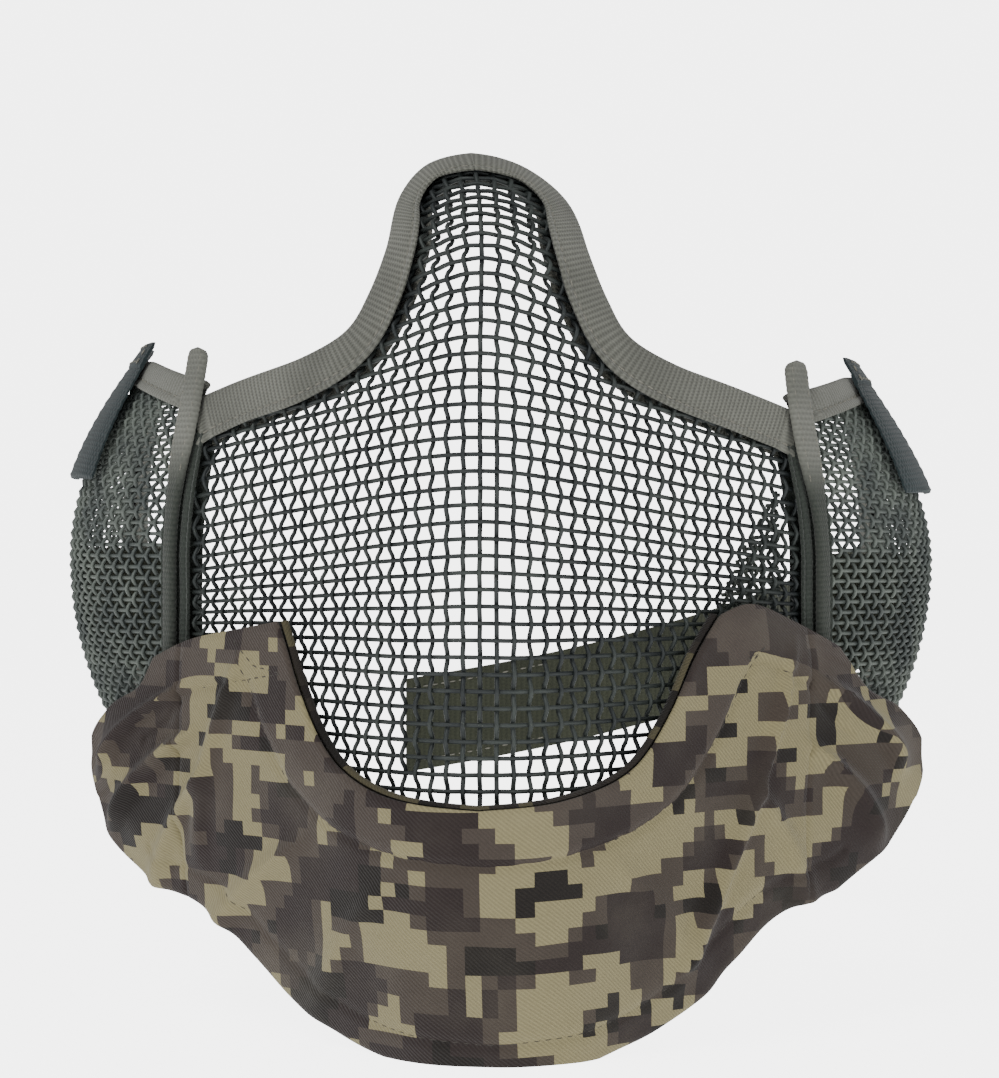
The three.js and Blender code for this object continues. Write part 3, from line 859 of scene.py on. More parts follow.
@dataclass
class Shop:
    """What every sub-assembly needs at hand: the finishes and the two node groups."""

    finishes: Finishes
    wires: Tree
    stitches: Tree

    def sew(self, name: str, lines: Sequence[Array], body: str, slot: str,
            finish: Optional[bpy.types.Material] = None, stitch: float = 1.7, spacing: float = 2.4,
            thread: float = 0.42) -> bpy.types.Object:
        """Sews rows of stitches onto one body.

        Args:
            name: the piece's name.
            lines: the rows' polylines in millimetres.
            body: the body that the rows ride on.
            slot: the record's material slot.
            finish: the thread's finish, pale where it isn't given.
            stitch: one stitch's length in millimetres.
            spacing: from one stitch to the next.
            thread: the thread's thickness.

        Returns:
            The rows as one piece.
        """
        sizes = {"Spacing": spacing * MM, "Stitch": stitch * MM, "Thread": thread * MM}
        piece = fit(self.stitches.grow(name, lines, sizes, finish or self.finishes.pale_thread), slot, body)
        LOG.info("%s: %d rows of stitches on %s", name, len(lines), body)
        return piece


@dataclass
class WireCloth:
    """Plain-woven square wire cloth over a surface."""

    shop: Shop
    pitch: float = 3.1
    radius: float = 0.46
    steps: int = 3
    droop: float = 0.15
    bridge_droop: float = 0.32
    upright_crimp: float = 0.72
    level_crimp: float = 0.12
    face_inset: float = 2.2
    ear_inset: float = 3.4
    behind: float = 3.1
    finish: Optional[bpy.types.Material] = None

    def weave(self, name: str, place: Callable[[Array, Array, Array], Array], columns: Array, rows: Array,
              keep: Array, level: float = 0.0, droops: bool = False, turn: float = 0.0) -> bpy.types.Object:
        """Weaves wires both ways over a surface and cuts them to an outline.

        Args:
            name: the piece's name.
            place: gives a point from two surface coordinates and a height.
            columns: the first coordinate of each upright wire.
            rows: the second coordinate of each level wire.
            keep: the outline that the wires are cut to.
            level: height of the cloth's middle over the surface.
            droops: whether the level wires sag towards the sides, as cloth pressed over a nose does.
            turn: degrees that the weave is turned in the surface.

        Returns:
            The wires as one plain mesh.
        """
        lines: list[Array] = []
        cos, sin = math.cos(math.radians(turn)), math.sin(math.radians(turn))
        for upright in (True, False):
            own, other = (columns, rows) if upright else (rows, columns)
            for k in range(len(own)):
                f = np.arange(0, (len(other) - 1) * self.steps + 1) / self.steps
                i, j = (np.full(f.shape, float(k)), f) if upright else (f, np.full(f.shape, float(k)))
                wave = np.cos(math.pi * (f + k)) * (self.upright_crimp if upright else -self.level_crimp)
                ci, cj = i - len(columns) / 2, j - len(rows) / 2
                ti, tj = ci * cos - cj * sin + len(columns) / 2, ci * sin + cj * cos + len(rows) / 2
                u = np.interp(ti, np.arange(len(columns)), columns)
                v = np.interp(tj, np.arange(len(rows)), rows)
                u = u + 0.16 * uneven(u, v, 34, 5)
                v = v + 0.18 * uneven(u, v, 29, 8)
                if droops:
                    sag = self.droop * smoothstep(v, -25, 8) + self.bridge_droop * smoothstep(v, 20, 60)
                    v = v - sag * (np.sqrt(u**2 + 100) - 10)
                kept = inside(keep, u, v)
                run = np.flatnonzero(np.diff(np.concatenate([[0], kept.astype(int), [0]])))
                for a, b in zip(run[::2], run[1::2]):
                    if b - a > 2:
                        lines.append(place(u[a:b], v[a:b], level + wave[a:b]))
        piece = self.shop.wires.grow(name, lines, {"Radius": self.radius * MM},
                                     self.finish or self.shop.finishes.wire)
        LOG.info("%s: %d lengths of wire", name, len(lines))
        return piece

    def spacing(self, surface: Callable[[Array], Array], low: float, high: float, middle: float) -> Array:
        """Coordinates from low to high that lie one pitch apart along a surface's line.

        Args:
            surface: points for coordinates along the line.
            low: where the line starts.
            high: where it ends.
            middle: a coordinate that a wire passes through.

        Returns:
            The coordinates in order.
        """
        fine = np.linspace(low, high, 1500)
        run = lengths_along(surface(fine))
        run = run - np.interp(middle, fine, run)
        marks = np.arange(math.ceil(run[0] / self.pitch), math.floor(run[-1] / self.pitch) + 1) * self.pitch
        return np.interp(marks, run, fine)

    def face(self) -> None:
        """The face's shell."""
        columns = self.spacing(lambda x: FORM.face_point(x, np.zeros_like(x)), -72, 72, 0)
        rows = self.spacing(lambda z: FORM.face_point(np.zeros_like(z), z), -112, 92, 0)
        outline = FORM.shell_outline()
        keep = outline + inward(outline, FORM.face_point) * self.face_inset
        shell = self.weave("wire_face", FORM.face, columns, rows, keep, droops=True)
        fit(shell, "wire_cloth", "face", "face_mesh")

    def flap(self) -> None:
        """The ear guard's cloth that runs in behind the face's +X cheek."""
        columns = self.spacing(lambda x: FORM.face_point(x, np.zeros_like(x)), 20, 72, 50)
        rows = self.spacing(lambda z: FORM.face_point(np.zeros_like(z), z), -62, 34, 0)
        outline = np.array([(59.5, 13), (47, -12), (38, -30), (38, -44), (59.5, -44)], float)
        flap = self.weave("wire_cheek_flap", FORM.face, columns, rows, outline, level=-self.behind, turn=4)
        fit(flap, "wire_cloth", "face", "cheek_flap_right")

    def ear(self, side: Side) -> None:
        """One ear guard's dome."""
        columns = self.spacing(lambda y: FORM.ear_point(y, np.full_like(y, FORM.ear_centre_z)), -6, 84, 38)
        rows = self.spacing(lambda z: FORM.ear_point(np.full_like(z, FORM.ear_centre_y), z), -46, 38, -4)
        outline = FORM.ear_outline()
        keep = outline + inward(outline, FORM.ear_point) * self.ear_inset
        dome = self.weave(f"wire_ear_{side.word}", FORM.ear(side), columns, rows, keep)
        fit(dome, "wire_cloth", f"ear_guard_{side.word}", f"ear_mesh_{side.word}")


@dataclass
class FoldedEdge:
    """Webbing folded over an edge of wire cloth and sewn through."""

    shop: Shop
    half: float = 2.0
    slot: float = 1.15
    face_fold: float = 11.0
    seam_fold: float = 3.6
    ear_fold: float = 7.0
    ear_seam_fold: float = 4.4
    seam_inset: float = 1.9

    def profile(self, fold: float) -> Array:
        """The webbing's cross-section, as (distance in from the edge, height) pairs."""
        h, s, a = self.half, self.slot, min(1.0, fold / 7)
        outer = [(fold - 0.1, s + 0.1), (fold + 0.05, h - 0.35), (fold - 0.3 * a, h - 0.02),
                 (fold - 0.8 * a, h - 0.08), (fold - 1.5 * a, h - 0.2), (fold - 1.9 * a, h - 0.42),
                 (fold - 2.3 * a, h - 0.2), (fold * 0.5, h - 0.05),
                 (fold * 0.3, h), (min(1.4, fold * 0.25), h - 0.05), (0.6, h - 0.3), (0.15, h - 0.95)]
        inner = [(fold - 0.5 * a, s), (fold * 0.5, s), (min(1.6, fold * 0.4), s - 0.05),
                 (min(1.1, fold * 0.3), s * 0.5)]
        outside = outer + [(0.0, 0.0)] + [(t, -w) for t, w in outer[::-1]]
        hollow = [(t, -w) for t, w in inner] + [(t, w) for t, w in inner[::-1]]
        return np.array(outside + hollow, float)

    def strip(self, name: str, place: Callable[[Array, Array, Array], Array],
              surface: Callable[[Array, Array], Array], outline: Array, keep: Array, fold: float,
              square_ends: bool = False) -> tuple[bpy.types.Object, list[Array]]:
        """One stretch of folded webbing.

        Args:
            name: the piece's name.
            place: gives a point from two surface coordinates and a height.
            surface: the plain surface that the outline is drawn on.
            outline: the whole closed rim.
            keep: which of its points belong to the stretch, in order.
            fold: width of the folded webbing.
            square_ends: whether the two ends are cut straight down rather than across the webbing.

        Returns:
            The webbing, and the two lines that its seam follows, outside and inside.
        """
        step = inward(outline, surface)[keep]
        p = outline[keep]
        if square_ends:
            for end in (0, -1):
                rise = surface(p[end, 0], p[end, 1]) - surface(p[end, 0], p[end, 1] - 0.05)
                step[end] = (0, -0.05 / float(np.linalg.norm(rise)))
        run = lengths_along(place(p[:, 0], p[:, 1], np.zeros(len(p))))
        profile = self.profile(fold)
        t = profile[None, :, 0] + 0.22 * uneven(run, run * 0, 23, 3)[:, None] * (profile[None, :, 0] > 3)
        w = profile[None, :, 1] * (1 + 0.05 * uneven(run, run * 0, 13, 4))[:, None]
        u = p[:, None, 0] + step[:, None, 0] * t
        v = p[:, None, 1] + step[:, None, 1] * t
        rings = place(u, v, w)
        around = lengths_along(np.concatenate([profile, profile[:1]]))[:-1]
        uv = np.stack(np.broadcast_arrays(run[:, None], around[None, :]), axis=-1) * MM
        piece = loft(name, rings, uv)
        seams = []
        for height in (self.half - 0.34, -self.half + 0.34):
            q = p + step * (fold - self.seam_inset)
            seams.append(spaced(place(q[:, 0], q[:, 1], np.full(len(q), height)), 1.0))
        return piece, seams

    def face(self) -> None:
        """The face's edge in four stretches, and its seams."""
        outline = FORM.shell_outline()
        x, z = outline.T
        count = np.arange(len(outline))
        top_z, low_z = FORM.cheek_top - self.face_fold - 0.5, FORM.jaw_corner - 4
        over = z > FORM.cheek_top - 0.1
        beside = (z <= top_z + 4.5) & (z >= low_z + 3.9)
        finishes = self.shop.finishes
        stretches = (
            ("top_binding", np.concatenate([count[over & (x < 0)], count[over & (x >= 0)]]), self.face_fold,
             finishes.edge),
            ("side_binding_right", count[beside & (x > 0)], self.seam_fold, finishes.seam),
            ("chin_binding", count[z < low_z + 1.5], self.face_fold, finishes.edge),
            ("side_binding_left", count[beside & (x < 0)], self.seam_fold, finishes.seam),
        )
        seams: list[Array] = []
        for node, keep, fold, finish in stretches:
            piece, lines = self.strip("folded_" + node, FORM.face, FORM.face_point, outline, keep, fold,
                                      square_ends=node == "top_binding")
            fit(piece, "edge_webbing", "face", node, finish=finish)
            seams += lines if fold == self.face_fold else []
            LOG.info("%s: folded webbing with %d stations", piece.name, len(keep))
        self.shop.sew("edge_seam_face", seams, "face", "edge_webbing")

    def ear(self, side: Side) -> None:
        """An ear guard's rim with its seam, and the narrow webbing down its front edge."""
        outline = FORM.ear_outline()
        count = np.arange(len(outline))
        front = outline[:, 0] < FORM.ear_front + 0.1
        rim = np.concatenate([count[:1], count[~front], count[~front][-1:] + 1])
        for name, keep, fold, finish in (
                ("rim", rim, self.ear_fold, self.shop.finishes.tape),
                ("front", count[front][2:-1], self.ear_seam_fold, self.shop.finishes.seam)):
            piece, lines = self.strip(f"folded_ear_{name}_{side.word}", FORM.ear(side), FORM.ear_point,
                                      outline, keep, fold)
            fit(piece, "trim_tape", f"ear_guard_{side.word}", f"ear_binding_{side.word}", finish=finish)
            if name == "rim":
                self.shop.sew(f"edge_seam_ear_{side.word}", lines, f"ear_guard_{side.word}", "trim_tape")


@dataclass
class SeamTape:
    """Ribbed tape down a hinge seam, with a rounded tip above the cheek edge."""

    shop: Shop
    width: float = 4.6
    lap: float = 1.8
    tip: float = 9.0
    level: float = 3.2
    half: float = 0.85

    def make(self, side: Side) -> None:
        """One side's tape with its two rows of stitches."""
        radius = self.width / 2
        z = np.arange(FORM.cheek_top + self.tip, FORM.jaw_corner - 2, -0.55)
        near_tip = np.clip((FORM.cheek_top + self.tip - z) / radius, 0, 1)
        reach = radius * np.sqrt(1 - (1 - near_tip) ** 2) * (0.5 + 0.5 * smoothstep(z, 2, 20))
        reach = np.maximum(reach, 0.25)
        middle = FORM.side_edge(z) - self.lap + radius
        across = np.linspace(-1, 1, 9)
        u = (middle[:, None] + across[None, :] * reach[:, None]) * side.value
        v = np.broadcast_to(z[:, None], u.shape)
        crown = self.level + 0.15 * (1 - across**2)[None, :] + 0.06 * np.sin(z * math.tau / 1.1)[:, None]
        uv = np.stack(np.broadcast_arrays(FORM.cheek_top - z[:, None], across * radius + radius), -1) * MM
        piece = thick_sheet(f"hinge_tape_{side.word}", FORM.face, u, v, np.broadcast_to(crown, u.shape),
                            self.half, uv)
        fit(piece, "trim_tape", "face", f"seam_tape_{side.word}", finish=self.shop.finishes.hinge)
        over = np.full(z.shape, self.level + self.half + 0.05)
        rows = [FORM.face((middle + a * radius) * side.value, z, over)[4:44] for a in (-0.62, 0.62)]
        self.shop.sew(f"hinge_tape_seam_{side.word}", rows, "face", "trim_tape", thread=0.3)


@dataclass
class Straps:
    """The upper straps, the lower straps with their sewn roots, and the fastening pads."""

    shop: Shop
    width: float = 25.0
    thickness: float = 1.6
    upper_front: float = 14.0
    upper_top: float = 38.5
    upper_length: float = 28.0
    anchor: float = 6.0
    bend: float = 2.5
    root_z: float = -15.0
    layer: float = 3.1
    hinge_gap: float = 1.3
    pad_gap: float = 1.1
    pad_thickness: float = 1.2
    pad_margin: float = 1.5

    def upper(self, side: Side) -> None:
        """The short strap hanging over the outside of an ear guard, folded at its sewn top."""
        word, place = side.word, FORM.ear(side)
        fold = self.upper_top - self.anchor
        z = np.linspace(fold + self.bend, self.upper_top - self.upper_length, 40)
        y = np.linspace(self.upper_front, self.upper_front + self.width, 13)
        u, v = np.meshgrid(y, z)
        edge = 0.12 * np.cos((u - self.upper_front - self.width / 2) / self.width * math.tau)
        level = self.layer + edge + 0.08 * np.sin(v * math.tau / 2.1)
        uv = flat_uv(place(u, v, level))
        strap = thick_sheet(f"strap_upper_{word}", place, u, v, level, self.thickness / 2 - 0.15, uv)
        middle = self.upper_front + self.width / 2
        start, end = (place(np.array(middle), np.array(h), np.array(self.layer)) * MM
                      for h in (fold, fold - self.bend))
        tuple(start)
        tuple(end)
        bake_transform(strap)
        fit(strap, "strap_webbing", "", f"upper_strap_{word}", finish=self.shop.finishes.strap)
        layer = np.full(40, self.layer)
        wide, long = (float(lengths_along(place(*line, layer))[-1]) for line in (
            (np.linspace(y[0], y[-1], 40), np.full(40, z.mean())), (np.full(40, middle), z)))
        z = np.linspace(self.upper_top, fold + 0.3, 10)
        u, v = np.meshgrid(y, z)
        level = np.full(u.shape, self.layer + 0.25)
        patch = thick_sheet(f"strap_anchor_{word}_sewn", place, u, v, level, self.thickness / 2,
                            flat_uv(place(u, v, level)))
        fit(patch, "strap_webbing", f"ear_guard_{word}", f"strap_anchor_{word}",
            finish=self.shop.finishes.strap)
        front, rear, low, high = y[0] + 1.5, y[-1] - 1.5, fold + 1.4, self.upper_top - 1.2
        line = spaced(np.array([(front, low), (rear, low), (rear, high), (front, high), (front, low)]),
                      SEAM_STEP)
        height = np.full(len(line), self.layer + self.thickness / 2 + 0.3)
        self.shop.sew(f"strap_anchor_seam_{word}", [place(line[:, 0], line[:, 1], height)],
                      f"ear_guard_{word}", "strap_webbing")
        LOG.info("%s: upper strap and its anchor", strap.name)

    def root(self, side: Side) -> None:
        """The lower strap's end, sewn along the inside of an ear guard."""
        word, place = side.word, FORM.ear(side)
        y = np.linspace(FORM.ear_front + 4, FORM.ear_rear + 2, 60)
        z = np.linspace(self.root_z + self.width / 2, self.root_z - self.width / 2, 12)
        u, v = np.meshgrid(y, z, indexing="ij")
        level = np.full(u.shape, -self.layer) + 0.06 * np.sin(u * math.tau / 2.8)
        piece = thick_sheet(f"strap_root_{word}_sewn", place, u, v, level, self.thickness / 2 - 0.1,
                            flat_uv(place(u, v, level)))
        fit(piece, "strap_elastic", f"ear_guard_{word}", f"strap_root_{word}",
            finish=self.shop.finishes.elastic)
        long_size = float(lengths_along(place(y, np.full(60, self.root_z), np.full(60, -self.layer)))[-1])
        front, rear, low, high = 2, 20, self.root_z - 10.5, self.root_z + 10.5
        line = spaced(np.array([(front, high), (rear, high), (rear, low), (front, low), (front, high),
                                (rear, low), (rear, high), (front, low)]), SEAM_STEP)
        height = np.full(len(line), -self.layer - self.thickness / 2)
        self.shop.sew(f"strap_root_seam_{word}", [place(line[:, 0], line[:, 1], height)],
                      f"ear_guard_{word}", "strap_elastic")

    def route(self, side: Side) -> Array:
        """The middle line of a lower strap, before the ear guard's tuck."""
        rear = np.array([FORM.ear_rear + 2, FORM.ear_rear + 3])
        a, b = FORM.off(FORM.ear_point, rear, np.full(2, self.root_z), np.full(2, -self.layer))
        ahead = unit(b - a)
        start = a + ahead * self.hinge_gap
        if side is Side.LEFT:
            points = [start, (start[0] - 0.5, start[1] + 11, -16), (start[0] + 1.5, start[1] + 26, -18)]
        else:
            lead = start + ahead * 12
            points = [start, (lead[0], lead[1], -17), (78, 116, -22), (66, 137, -28.5), (46, 151, -35.5),
                      (22, 158, -42), (0, 159.5, -46.5), (-21, 158.5, -50)]
        line = spline(points, 200)
        return spaced(np.concatenate([[start - ahead * 5], line]), 1.2)

    def lower(self, side: Side) -> None:
        """A lower strap behind its ear guard, with the pad at its end."""
        word = side.word
        line = self.route(side)
        run = lengths_along(line)
        aside = unit(np.cross(unit(np.gradient(line, axis=0)), [0, 0, 1]))

        def place(u: Array, v: Array, w: Array) -> Array:
            """A point u along the strap, v up from its middle line and w out from it."""
            at = np.stack([np.interp(u, run, line[:, k]) for k in range(3)], axis=-1)
            out = np.stack([np.interp(u, run, aside[:, k]) for k in range(3)], axis=-1)
            return FORM.tucked(at + np.array([0, 0, 1.0]) * v[..., None] + out * w[..., None], side)

        u, v = np.meshgrid(run, np.linspace(self.width / 2, -self.width / 2, 13), indexing="ij")
        cup = 0.25 * np.cos(v / self.width * math.tau) * smoothstep(u, 8, 20)
        level = cup + 0.35 * uneven(u, v, 60, 12) * smoothstep(u, 8, 40)
        strap = thick_sheet(f"strap_lower_{word}", place, u, v, level, self.thickness / 2 - 0.1,
                            np.stack([u, v], -1) * MM)
        joints = frame["record"]["behaviour"]["joints"]
        pivot = np.array(next(j for j in joints if j["name"] == f"lower_strap_swing_{word}")["pos_m"])
        none = np.array(0.0)
        way = place(np.array(run[8]), none, none) - place(np.array(run[2]), none, none)
        way = unit(way)
        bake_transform(strap)
        fit(strap, "strap_elastic", "", f"lower_strap_{word}", finish=self.shop.finishes.elastic)
        size = 18.0 if side is Side.LEFT else 38.0
        out = -1 if side is Side.LEFT else 1
        u, v = np.meshgrid(np.linspace(run[-1] - self.pad_margin - size, run[-1] - self.pad_margin, 30),
                           np.linspace(self.width / 2 - self.pad_margin,
                                       self.pad_margin - self.width / 2, 14), indexing="ij")
        middle = out * (self.pad_gap + self.pad_thickness / 2 + 0.1)
        pad = thick_sheet(f"fastening_pad_{word}", place, u, v, middle + 0.05 * uneven(u, v, 9, 4),
                          self.pad_thickness / 2, np.stack([u, v], -1) * MM)
        fit(pad, "hook_tape", f"lower_strap_end_{word}", f"strap_pad_{word}", finish=self.shop.finishes.hook)
        near, far, side_row = run[-1] - 3, run[-1] - size, 9.8
        box = spaced(np.array([(near, side_row), (far, side_row), (far, -side_row), (near, -side_row),
                               (near, side_row)]), SEAM_STEP)
        height = np.full(len(box), -out * (self.thickness / 2 + 0.1))
        self.shop.sew(f"fastening_seam_{word}", [place(box[:, 0], box[:, 1], height)],
                      f"lower_strap_end_{word}", "strap_elastic")
        LOG.info("%s: %.0f mm of strap", strap.name, run[-1])


@dataclass
class ChinCover:
    """The camouflage cloth over chin and jaw: a front, two side lobes and the hems turned in behind."""

    shop: Shop
    standoff: float = 5.6
    half: float = 0.6
    hem_width: float = 10.0
    low_hem: float = 6.4
    hem_rise: float = 0.35
    groove: float = 0.8
    groove_end: float = 66
    split: float = 58.0
    wing_tip: dict[Side, float] = field(default_factory=lambda: {Side.LEFT: 81.0, Side.RIGHT: 83.5})
    front_cloth: tuple[float, float] = (0.160, 0.085)
    front_area: float = 0.0097
    lobe_cloth: tuple[float, float] = (0.040, 0.058)
    lobe_area: dict[Side, float] = field(default_factory=lambda: {Side.LEFT: 0.00135, Side.RIGHT: 0.0015})

    def edges(self, side: Side) -> tuple[Array, Array]:
        """The upper and the lower edge from the mid-plane to the tip of a lobe, in (|x|, z)."""
        if side is Side.RIGHT:
            neck = spline([(0, -48.5), (13, -47), (24, -42.5), (31, -33), (36, -22), (40.5, -14.5)], 40)
            top = spline([(40.5, -14.5), (47, -12.5), (56, -16.5), (65, -21.5)], 30)[1:]
        else:
            neck = spline([(0, -48.5), (13, -47), (22, -43), (27.5, -36.5), (31.5, -28), (34, -21),
                           (35.8, -15.8)], 40)
            top = spline([(35.8, -15.8), (45, -17.6), (56, -20), (65, -24)], 30)[1:]
        tip = self.wing_tip[side]
        wing = spline([tuple(top[-1]), (tip - 12.5, -30), (tip - 5, -34.5), (tip, -42), (tip - 2, -52),
                       (75, -62.5), (65, -69.5)], 120)
        turn = int(np.argmax(wing[:, 0]))
        chin = spline([(65, -69.5), (53, -73), (43, -81.5), (33, -90.5), (18, -97), (0, -98.5)], 60)[1:]
        upper = np.concatenate([neck, top, wing[1:turn + 1]])
        lower = np.concatenate([wing[turn:], chin])[::-1]
        return upper, lower

    def height(self, x: Array, z: Array) -> Array:
        """The cloth's height over the face: hems, folds and slack."""
        neck, low = self.from_edges(x, z)
        hem = self.hem_rise * (1 - smoothstep(neck, self.hem_width - 1.2, self.hem_width))
        for apart, depth in ((neck - self.hem_width, 0.5), (low - self.low_hem, 0.45)):
            hem = hem - depth * np.exp(-((apart / self.groove) ** 2)) * (np.abs(x) < self.groove_end)
        slack = 0.8 * uneven(x, z, 46, 21) + 0.4 * uneven(x, z, 17, 22) + 0.9 * smoothstep(np.abs(x), 20, 55)
        folds = np.zeros(x.shape)
        for side, (x0, z0, x1, z1, size, wide) in FOLDS:
            run, apart = np.array([x1 - x0, z1 - z0]), np.stack([x * side - x0, z - z0], axis=-1)
            length = np.linalg.norm(run)
            along = (apart @ run) / length**2
            across = (apart @ np.array([-run[1], run[0]])) / length
            bend = across - 2.0 * np.sin(np.clip(along, 0, 1) * math.pi)
            spread = wide * (0.6 + 0.7 * np.clip(along, 0, 1))
            reach = smoothstep(along, -0.12, 0.2) * (1 - smoothstep(along, 0.75, 1.1))
            folds = folds + size * np.exp(-((bend / spread) ** 2)) * reach
        lobe = 1.4 * smoothstep(np.abs(x), 60, 72) * smoothstep(low, 0, 9) * smoothstep(neck, 0, 8)
        calm = smoothstep(neck, 0, 6) * 0.8 + 0.2
        return self.standoff + hem + (slack + folds) * calm + lobe

    def from_edges(self, x: Array, z: Array) -> tuple[Array, Array]:
        """Distances from the cover's upper edge and from its lower edge."""
        found = []
        for line in zip(self.edges(Side.LEFT), self.edges(Side.RIGHT)):
            whole = np.concatenate([(line[0][1:] * [-1, 1])[::-1], line[1]])[::2]
            points = np.stack([x, z], axis=-1)[..., None, :]
            found.append(np.sqrt(((points - whole) ** 2).sum(axis=-1)).min(axis=-1))
        return found[0], found[1]

    def panel(self, name: str, x: Array, node: str, body: str = "") -> bpy.types.Object:
        """One panel between two widths.

        Args:
            name: the piece's name.
            x: the widths of its columns of cloth.
            node: the CAD node it stands for.
            body: the body that it rides on, or nothing where it bends between two.

        Returns:
            The panel, in the cover's finish.
        """
        ends = [[np.interp(np.abs(x), line[:, 0], line[:, 1]) for line in self.edges(side)] for side in Side]
        top, low = (np.where(x < 0, left, right) for left, right in zip(*ends))
        t = np.linspace(0, 1, 64)
        z = top[:, None] + (low - top)[:, None] * t[None, :]
        u = np.broadcast_to(x[:, None], z.shape)
        level = self.height(u, z)
        along = np.interp(np.abs(x), *self.measure()) * np.sign(x)
        uv = np.stack([np.broadcast_to(along[:, None], z.shape), z], axis=-1) * MM
        piece = thick_sheet(name, FORM.face, u, z, level, self.half, uv)
        neck = self.from_edges(u, z)[0] + 3 * smoothstep(np.abs(u), 38, 60)
        edge = np.concatenate([neck, neck[:, ::-1]], axis=1).reshape(-1) * MM
        write_uv(piece.data, "edge", np.stack([edge, edge * 0], axis=1))
        LOG.info("%s: panel of %d columns", name, len(x))
        return fit(piece, "cover_cloth", body, node, finish=self.shop.finishes.cover)

    def measure(self) -> tuple[Array, Array]:
        """Widths, and the cloth that runs from the mid-plane to each."""
        x = np.linspace(0, 90, 300)
        return x, lengths_along(FORM.face_point(x, np.full(300, -60.0)))

    def hem(self, name: str, node: str, line: Array, out: float) -> None:
        """A hem turned in behind an edge.

        Args:
            name: the piece's name.
            node: the CAD node it stands for.
            line: the edge from one side to the other, in (x, z).
            out: +1 where the cloth lies to the left of the line's run, else -1.
        """
        wide = self.hem_width - 0.6
        profile = np.array([(-0.1, 5.3), (-0.55, 4.8), (-0.5, 3.9), (0.2, 3.2), (2, 3.05), (wide - 0.4, 3.0),
                            (wide, 3.4), (wide - 0.4, 3.9), (2, 4.05), (0.9, 4.2), (0.6, 4.6), (0.5, 5.0)])
        inwards = left_of(line) * out
        u = line[:, None, 0] + inwards[:, None, 0] * profile[None, :, 0]
        v = line[:, None, 1] + inwards[:, None, 1] * profile[None, :, 0]
        rings = FORM.face(u, v, np.broadcast_to(profile[None, :, 1], u.shape))
        around = lengths_along(np.concatenate([profile, profile[:1]]))[:-1]
        uv = np.stack(np.broadcast_arrays(lengths_along(rings[:, 0])[:, None], around[None, :]), axis=-1) * MM
        piece = loft(name, rings, uv)
        fit(piece, "hem_cloth", "face", node, finish=self.shop.finishes.hem)

    def rows(self, upper_x: tuple[float, float], distance: float, line: Array, out: float) -> Array:
        """A row of stitches beside an edge, on the outside of the cloth.

        Args:
            upper_x: the widths between which the row runs.
            distance: how far from the edge it lies.
            line: the edge in (x, z).
            out: +1 where the cloth lies to the left of the line's run, else -1.

        Returns:
            The row's points in millimetres.
        """
        line = line[(line[:, 0] >= upper_x[0]) & (line[:, 0] <= upper_x[1])]
        q = spaced(line + left_of(line) * out * distance, SEAM_STEP)
        return FORM.face(q[:, 0], q[:, 1], self.height(q[:, 0], q[:, 1]) + self.half - 0.05)

    def make(self) -> None:
        """The whole cover."""
        columns = np.linspace(-self.split, self.split, 170)
        front = self.panel("cover_front", columns, "chin_front_panel", "face")
        for side in Side:
            word = side.word
            closing = np.sin(np.linspace(0, math.pi / 2, 60))
            reach = self.split + (self.wing_tip[side] - 0.35 - self.split) * closing
            wing = self.panel(f"cover_lobe_{word}", reach * side.value, f"chin_wing_{word}")
            hinge = FORM.face(np.array(64.0 * side.value), np.array(-45.0), np.array(5.0)) * MM
            end = FORM.face(np.array(74.0 * side.value), np.array(-45.0), np.array(5.0)) * MM
            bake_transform(wing)
        (left_top, left_low), (right_top, right_low) = self.edges(Side.LEFT), self.edges(Side.RIGHT)
        whole_top = np.concatenate([(left_top[1:] * [-1, 1])[::-1], right_top])
        whole_low = np.concatenate([(left_low[1:] * [-1, 1])[::-1], right_low])
        neck = np.concatenate([(left_top[1:41] * [-1, 1])[::-1], right_top[:41]])
        chin = whole_low[np.abs(whole_low[:, 0]) < 52]
        self.hem("hem_neckline", "neckline_hem", neck, -1)
        self.hem("hem_chin", "chin_hem", chin, 1)
        rows = [self.rows((-57.5, 57.5), self.hem_width, whole_top, -1),
                self.rows((-57.5, 57.5), self.low_hem, whole_low, 1)]
        self.shop.sew("cover_seam", rows, "face", "hem_cloth", self.shop.finishes.dark_thread, 1.6, 2.2, 0.3)


FOLDS: tuple[tuple[int, tuple[float, float, float, float, float, float]], ...] = (
    (-1, (58, -30, 78, -48, 2.6, 1.5)),
    (-1, (55, -38, 76, -60, 3.0, 1.6)),
    (-1, (50, -44, 66, -72, 2.2, 1.7)),
    (-1, (66, -27, 82, -38, 1.6, 1.2)),
    (-1, (44, -24, 54, -64, 1.8, 1.6)),
    (-1, (30, -56, 54, -80, 1.6, 2.2)),
    (-1, (14, -62, 32, -94, 1.1, 2.6)),
    (1, (60, -28, 78, -46, 2.4, 1.5)),
    (1, (58, -40, 74, -62, 2.8, 1.7)),
    (1, (62, -23, 82, -36, 1.5, 1.3)),
    (1, (54, -22, 32, -84, 2.6, 1.4)),
    (1, (46, -46, 60, -76, 1.8, 2.0)),
    (1, (20, -58, 40, -90, 1.0, 2.6)),
)


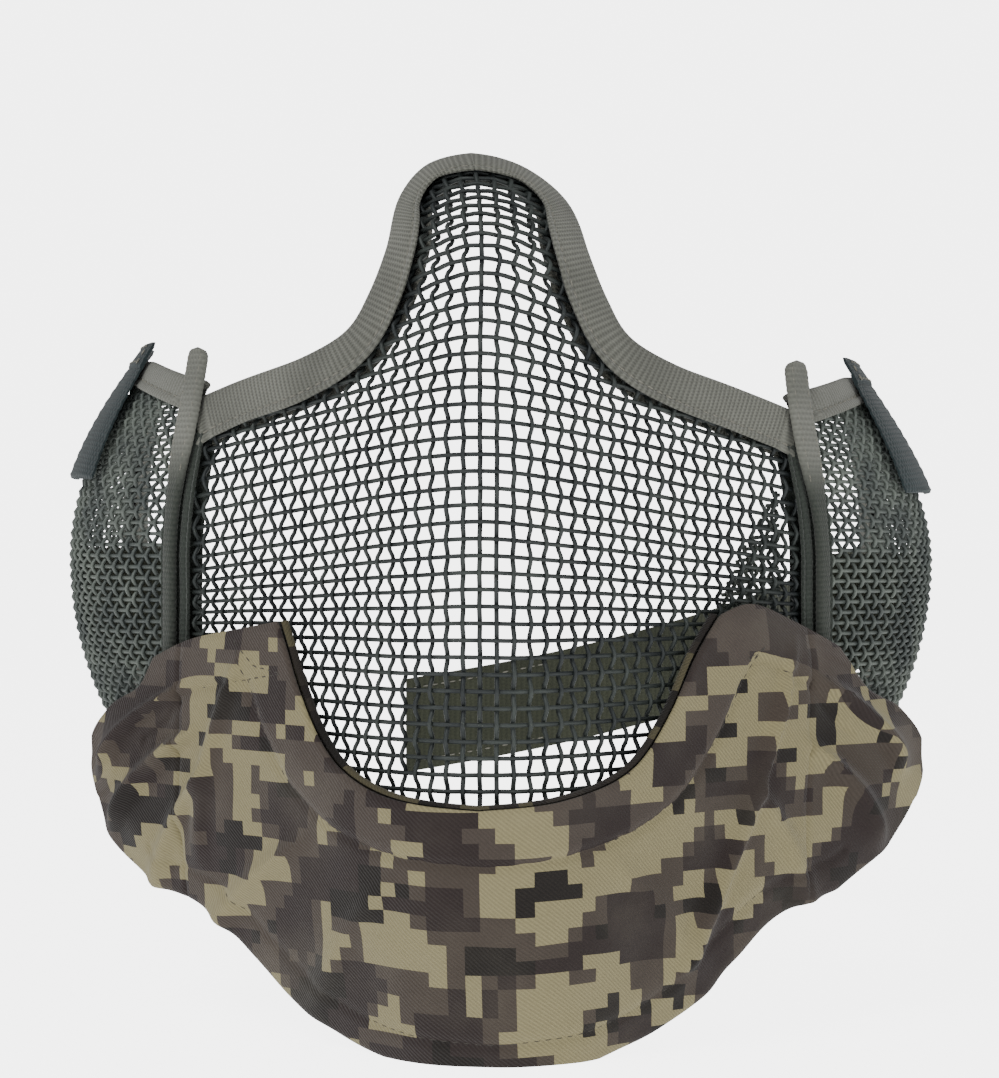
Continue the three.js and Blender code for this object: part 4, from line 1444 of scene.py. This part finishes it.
@dataclass
class Studio:
    """A plain pale floor, soft lamps and the camera."""

    floor: float = -99.5
    floor_reach: float = 20000.0
    distance: float = 450.0
    swing: float = 3.0
    lens: float = 88.6
    sky: float = 0.4
    backdrop: float = 5.0

    def make(self) -> None:
        """Sets the floor, the lamps, the surroundings and the camera."""
        corners = np.array([(-1, -1, 0), (1, -1, 0), (1, 1, 0), (-1, 1, 0)]) * self.floor_reach
        ground = mesh_piece("studio_ground", corners + [0, 0, self.floor], [(0, 1, 2, 3)])
        dress(ground, Floor().make())
        world = bpy.data.worlds.new("studio")
        world.use_nodes = True
        back = world.node_tree.nodes["Background"]
        nodes, links = world.node_tree.nodes, world.node_tree.links
        seen = nodes.new("ShaderNodeLightPath")
        strength = nodes.new("ShaderNodeMapRange")
        strength.inputs["To Min"].default_value = self.sky
        strength.inputs["To Max"].default_value = self.backdrop
        links.new(seen.outputs["Is Camera Ray"], strength.inputs["Value"])
        links.new(strength.outputs["Result"], back.inputs["Strength"])
        back.inputs["Color"].default_value = (1.0, 1.0, 1.0, 1)
        bpy.context.scene.world = world
        for name, place, turn, size_m, power in (
                ("key", (-0.55, -0.9, 1.1), (42, 0, -31), 0.6, 11.0),
                ("fill", (0.9, -0.8, 0.45), (66, 0, 48), 0.8, 3.5)):
            lamp = bpy.data.lights.new(name, "AREA")
            lamp.size, lamp.energy = size_m, power
            holder = linked(name, lamp)
            holder.location = place
            holder.rotation_euler = [math.radians(a) for a in turn]
        turn = math.radians(self.swing)
        right = np.array([math.cos(turn), math.sin(turn), 0])
        ahead = np.array([-math.sin(turn), math.cos(turn), 0])
        aim = np.array([0, -FORM.nose_reach, 0]) + right * 3.57
        camera = bpy.data.cameras.new("camera")
        camera.sensor_fit, camera.sensor_width, camera.lens = "HORIZONTAL", 36, self.lens
        camera.clip_start = 0.01
        holder = linked("camera", camera)
        holder.location = (aim - ahead * self.distance) * MM
        holder.rotation_euler = (math.pi / 2, 0, turn)
        bpy.context.scene.camera = holder


def main() -> None:
    """Builds the mask's looks over its frame, in order."""
    logging.basicConfig(level=logging.INFO, format="%(name)s %(message)s")
    Studio().make()
    shop = Shop(Finishes(), wire_tree(), stitch_tree())
    cloth, edge, tape, straps = WireCloth(shop), FoldedEdge(shop), SeamTape(shop), Straps(shop)
    cloth.face()
    edge.face()
    fine = WireCloth(shop, pitch=2.2, radius=0.45, upright_crimp=0.68, level_crimp=0.14,
                     finish=shop.finishes.fine_wire)
    fine.flap()
    for side in Side:
        fine.ear(side)
        edge.ear(side)
        tape.make(side)
        straps.upper(side)
        straps.root(side)
        straps.lower(side)
    ChinCover(shop).make()


if __name__ == "__main__":
    main()
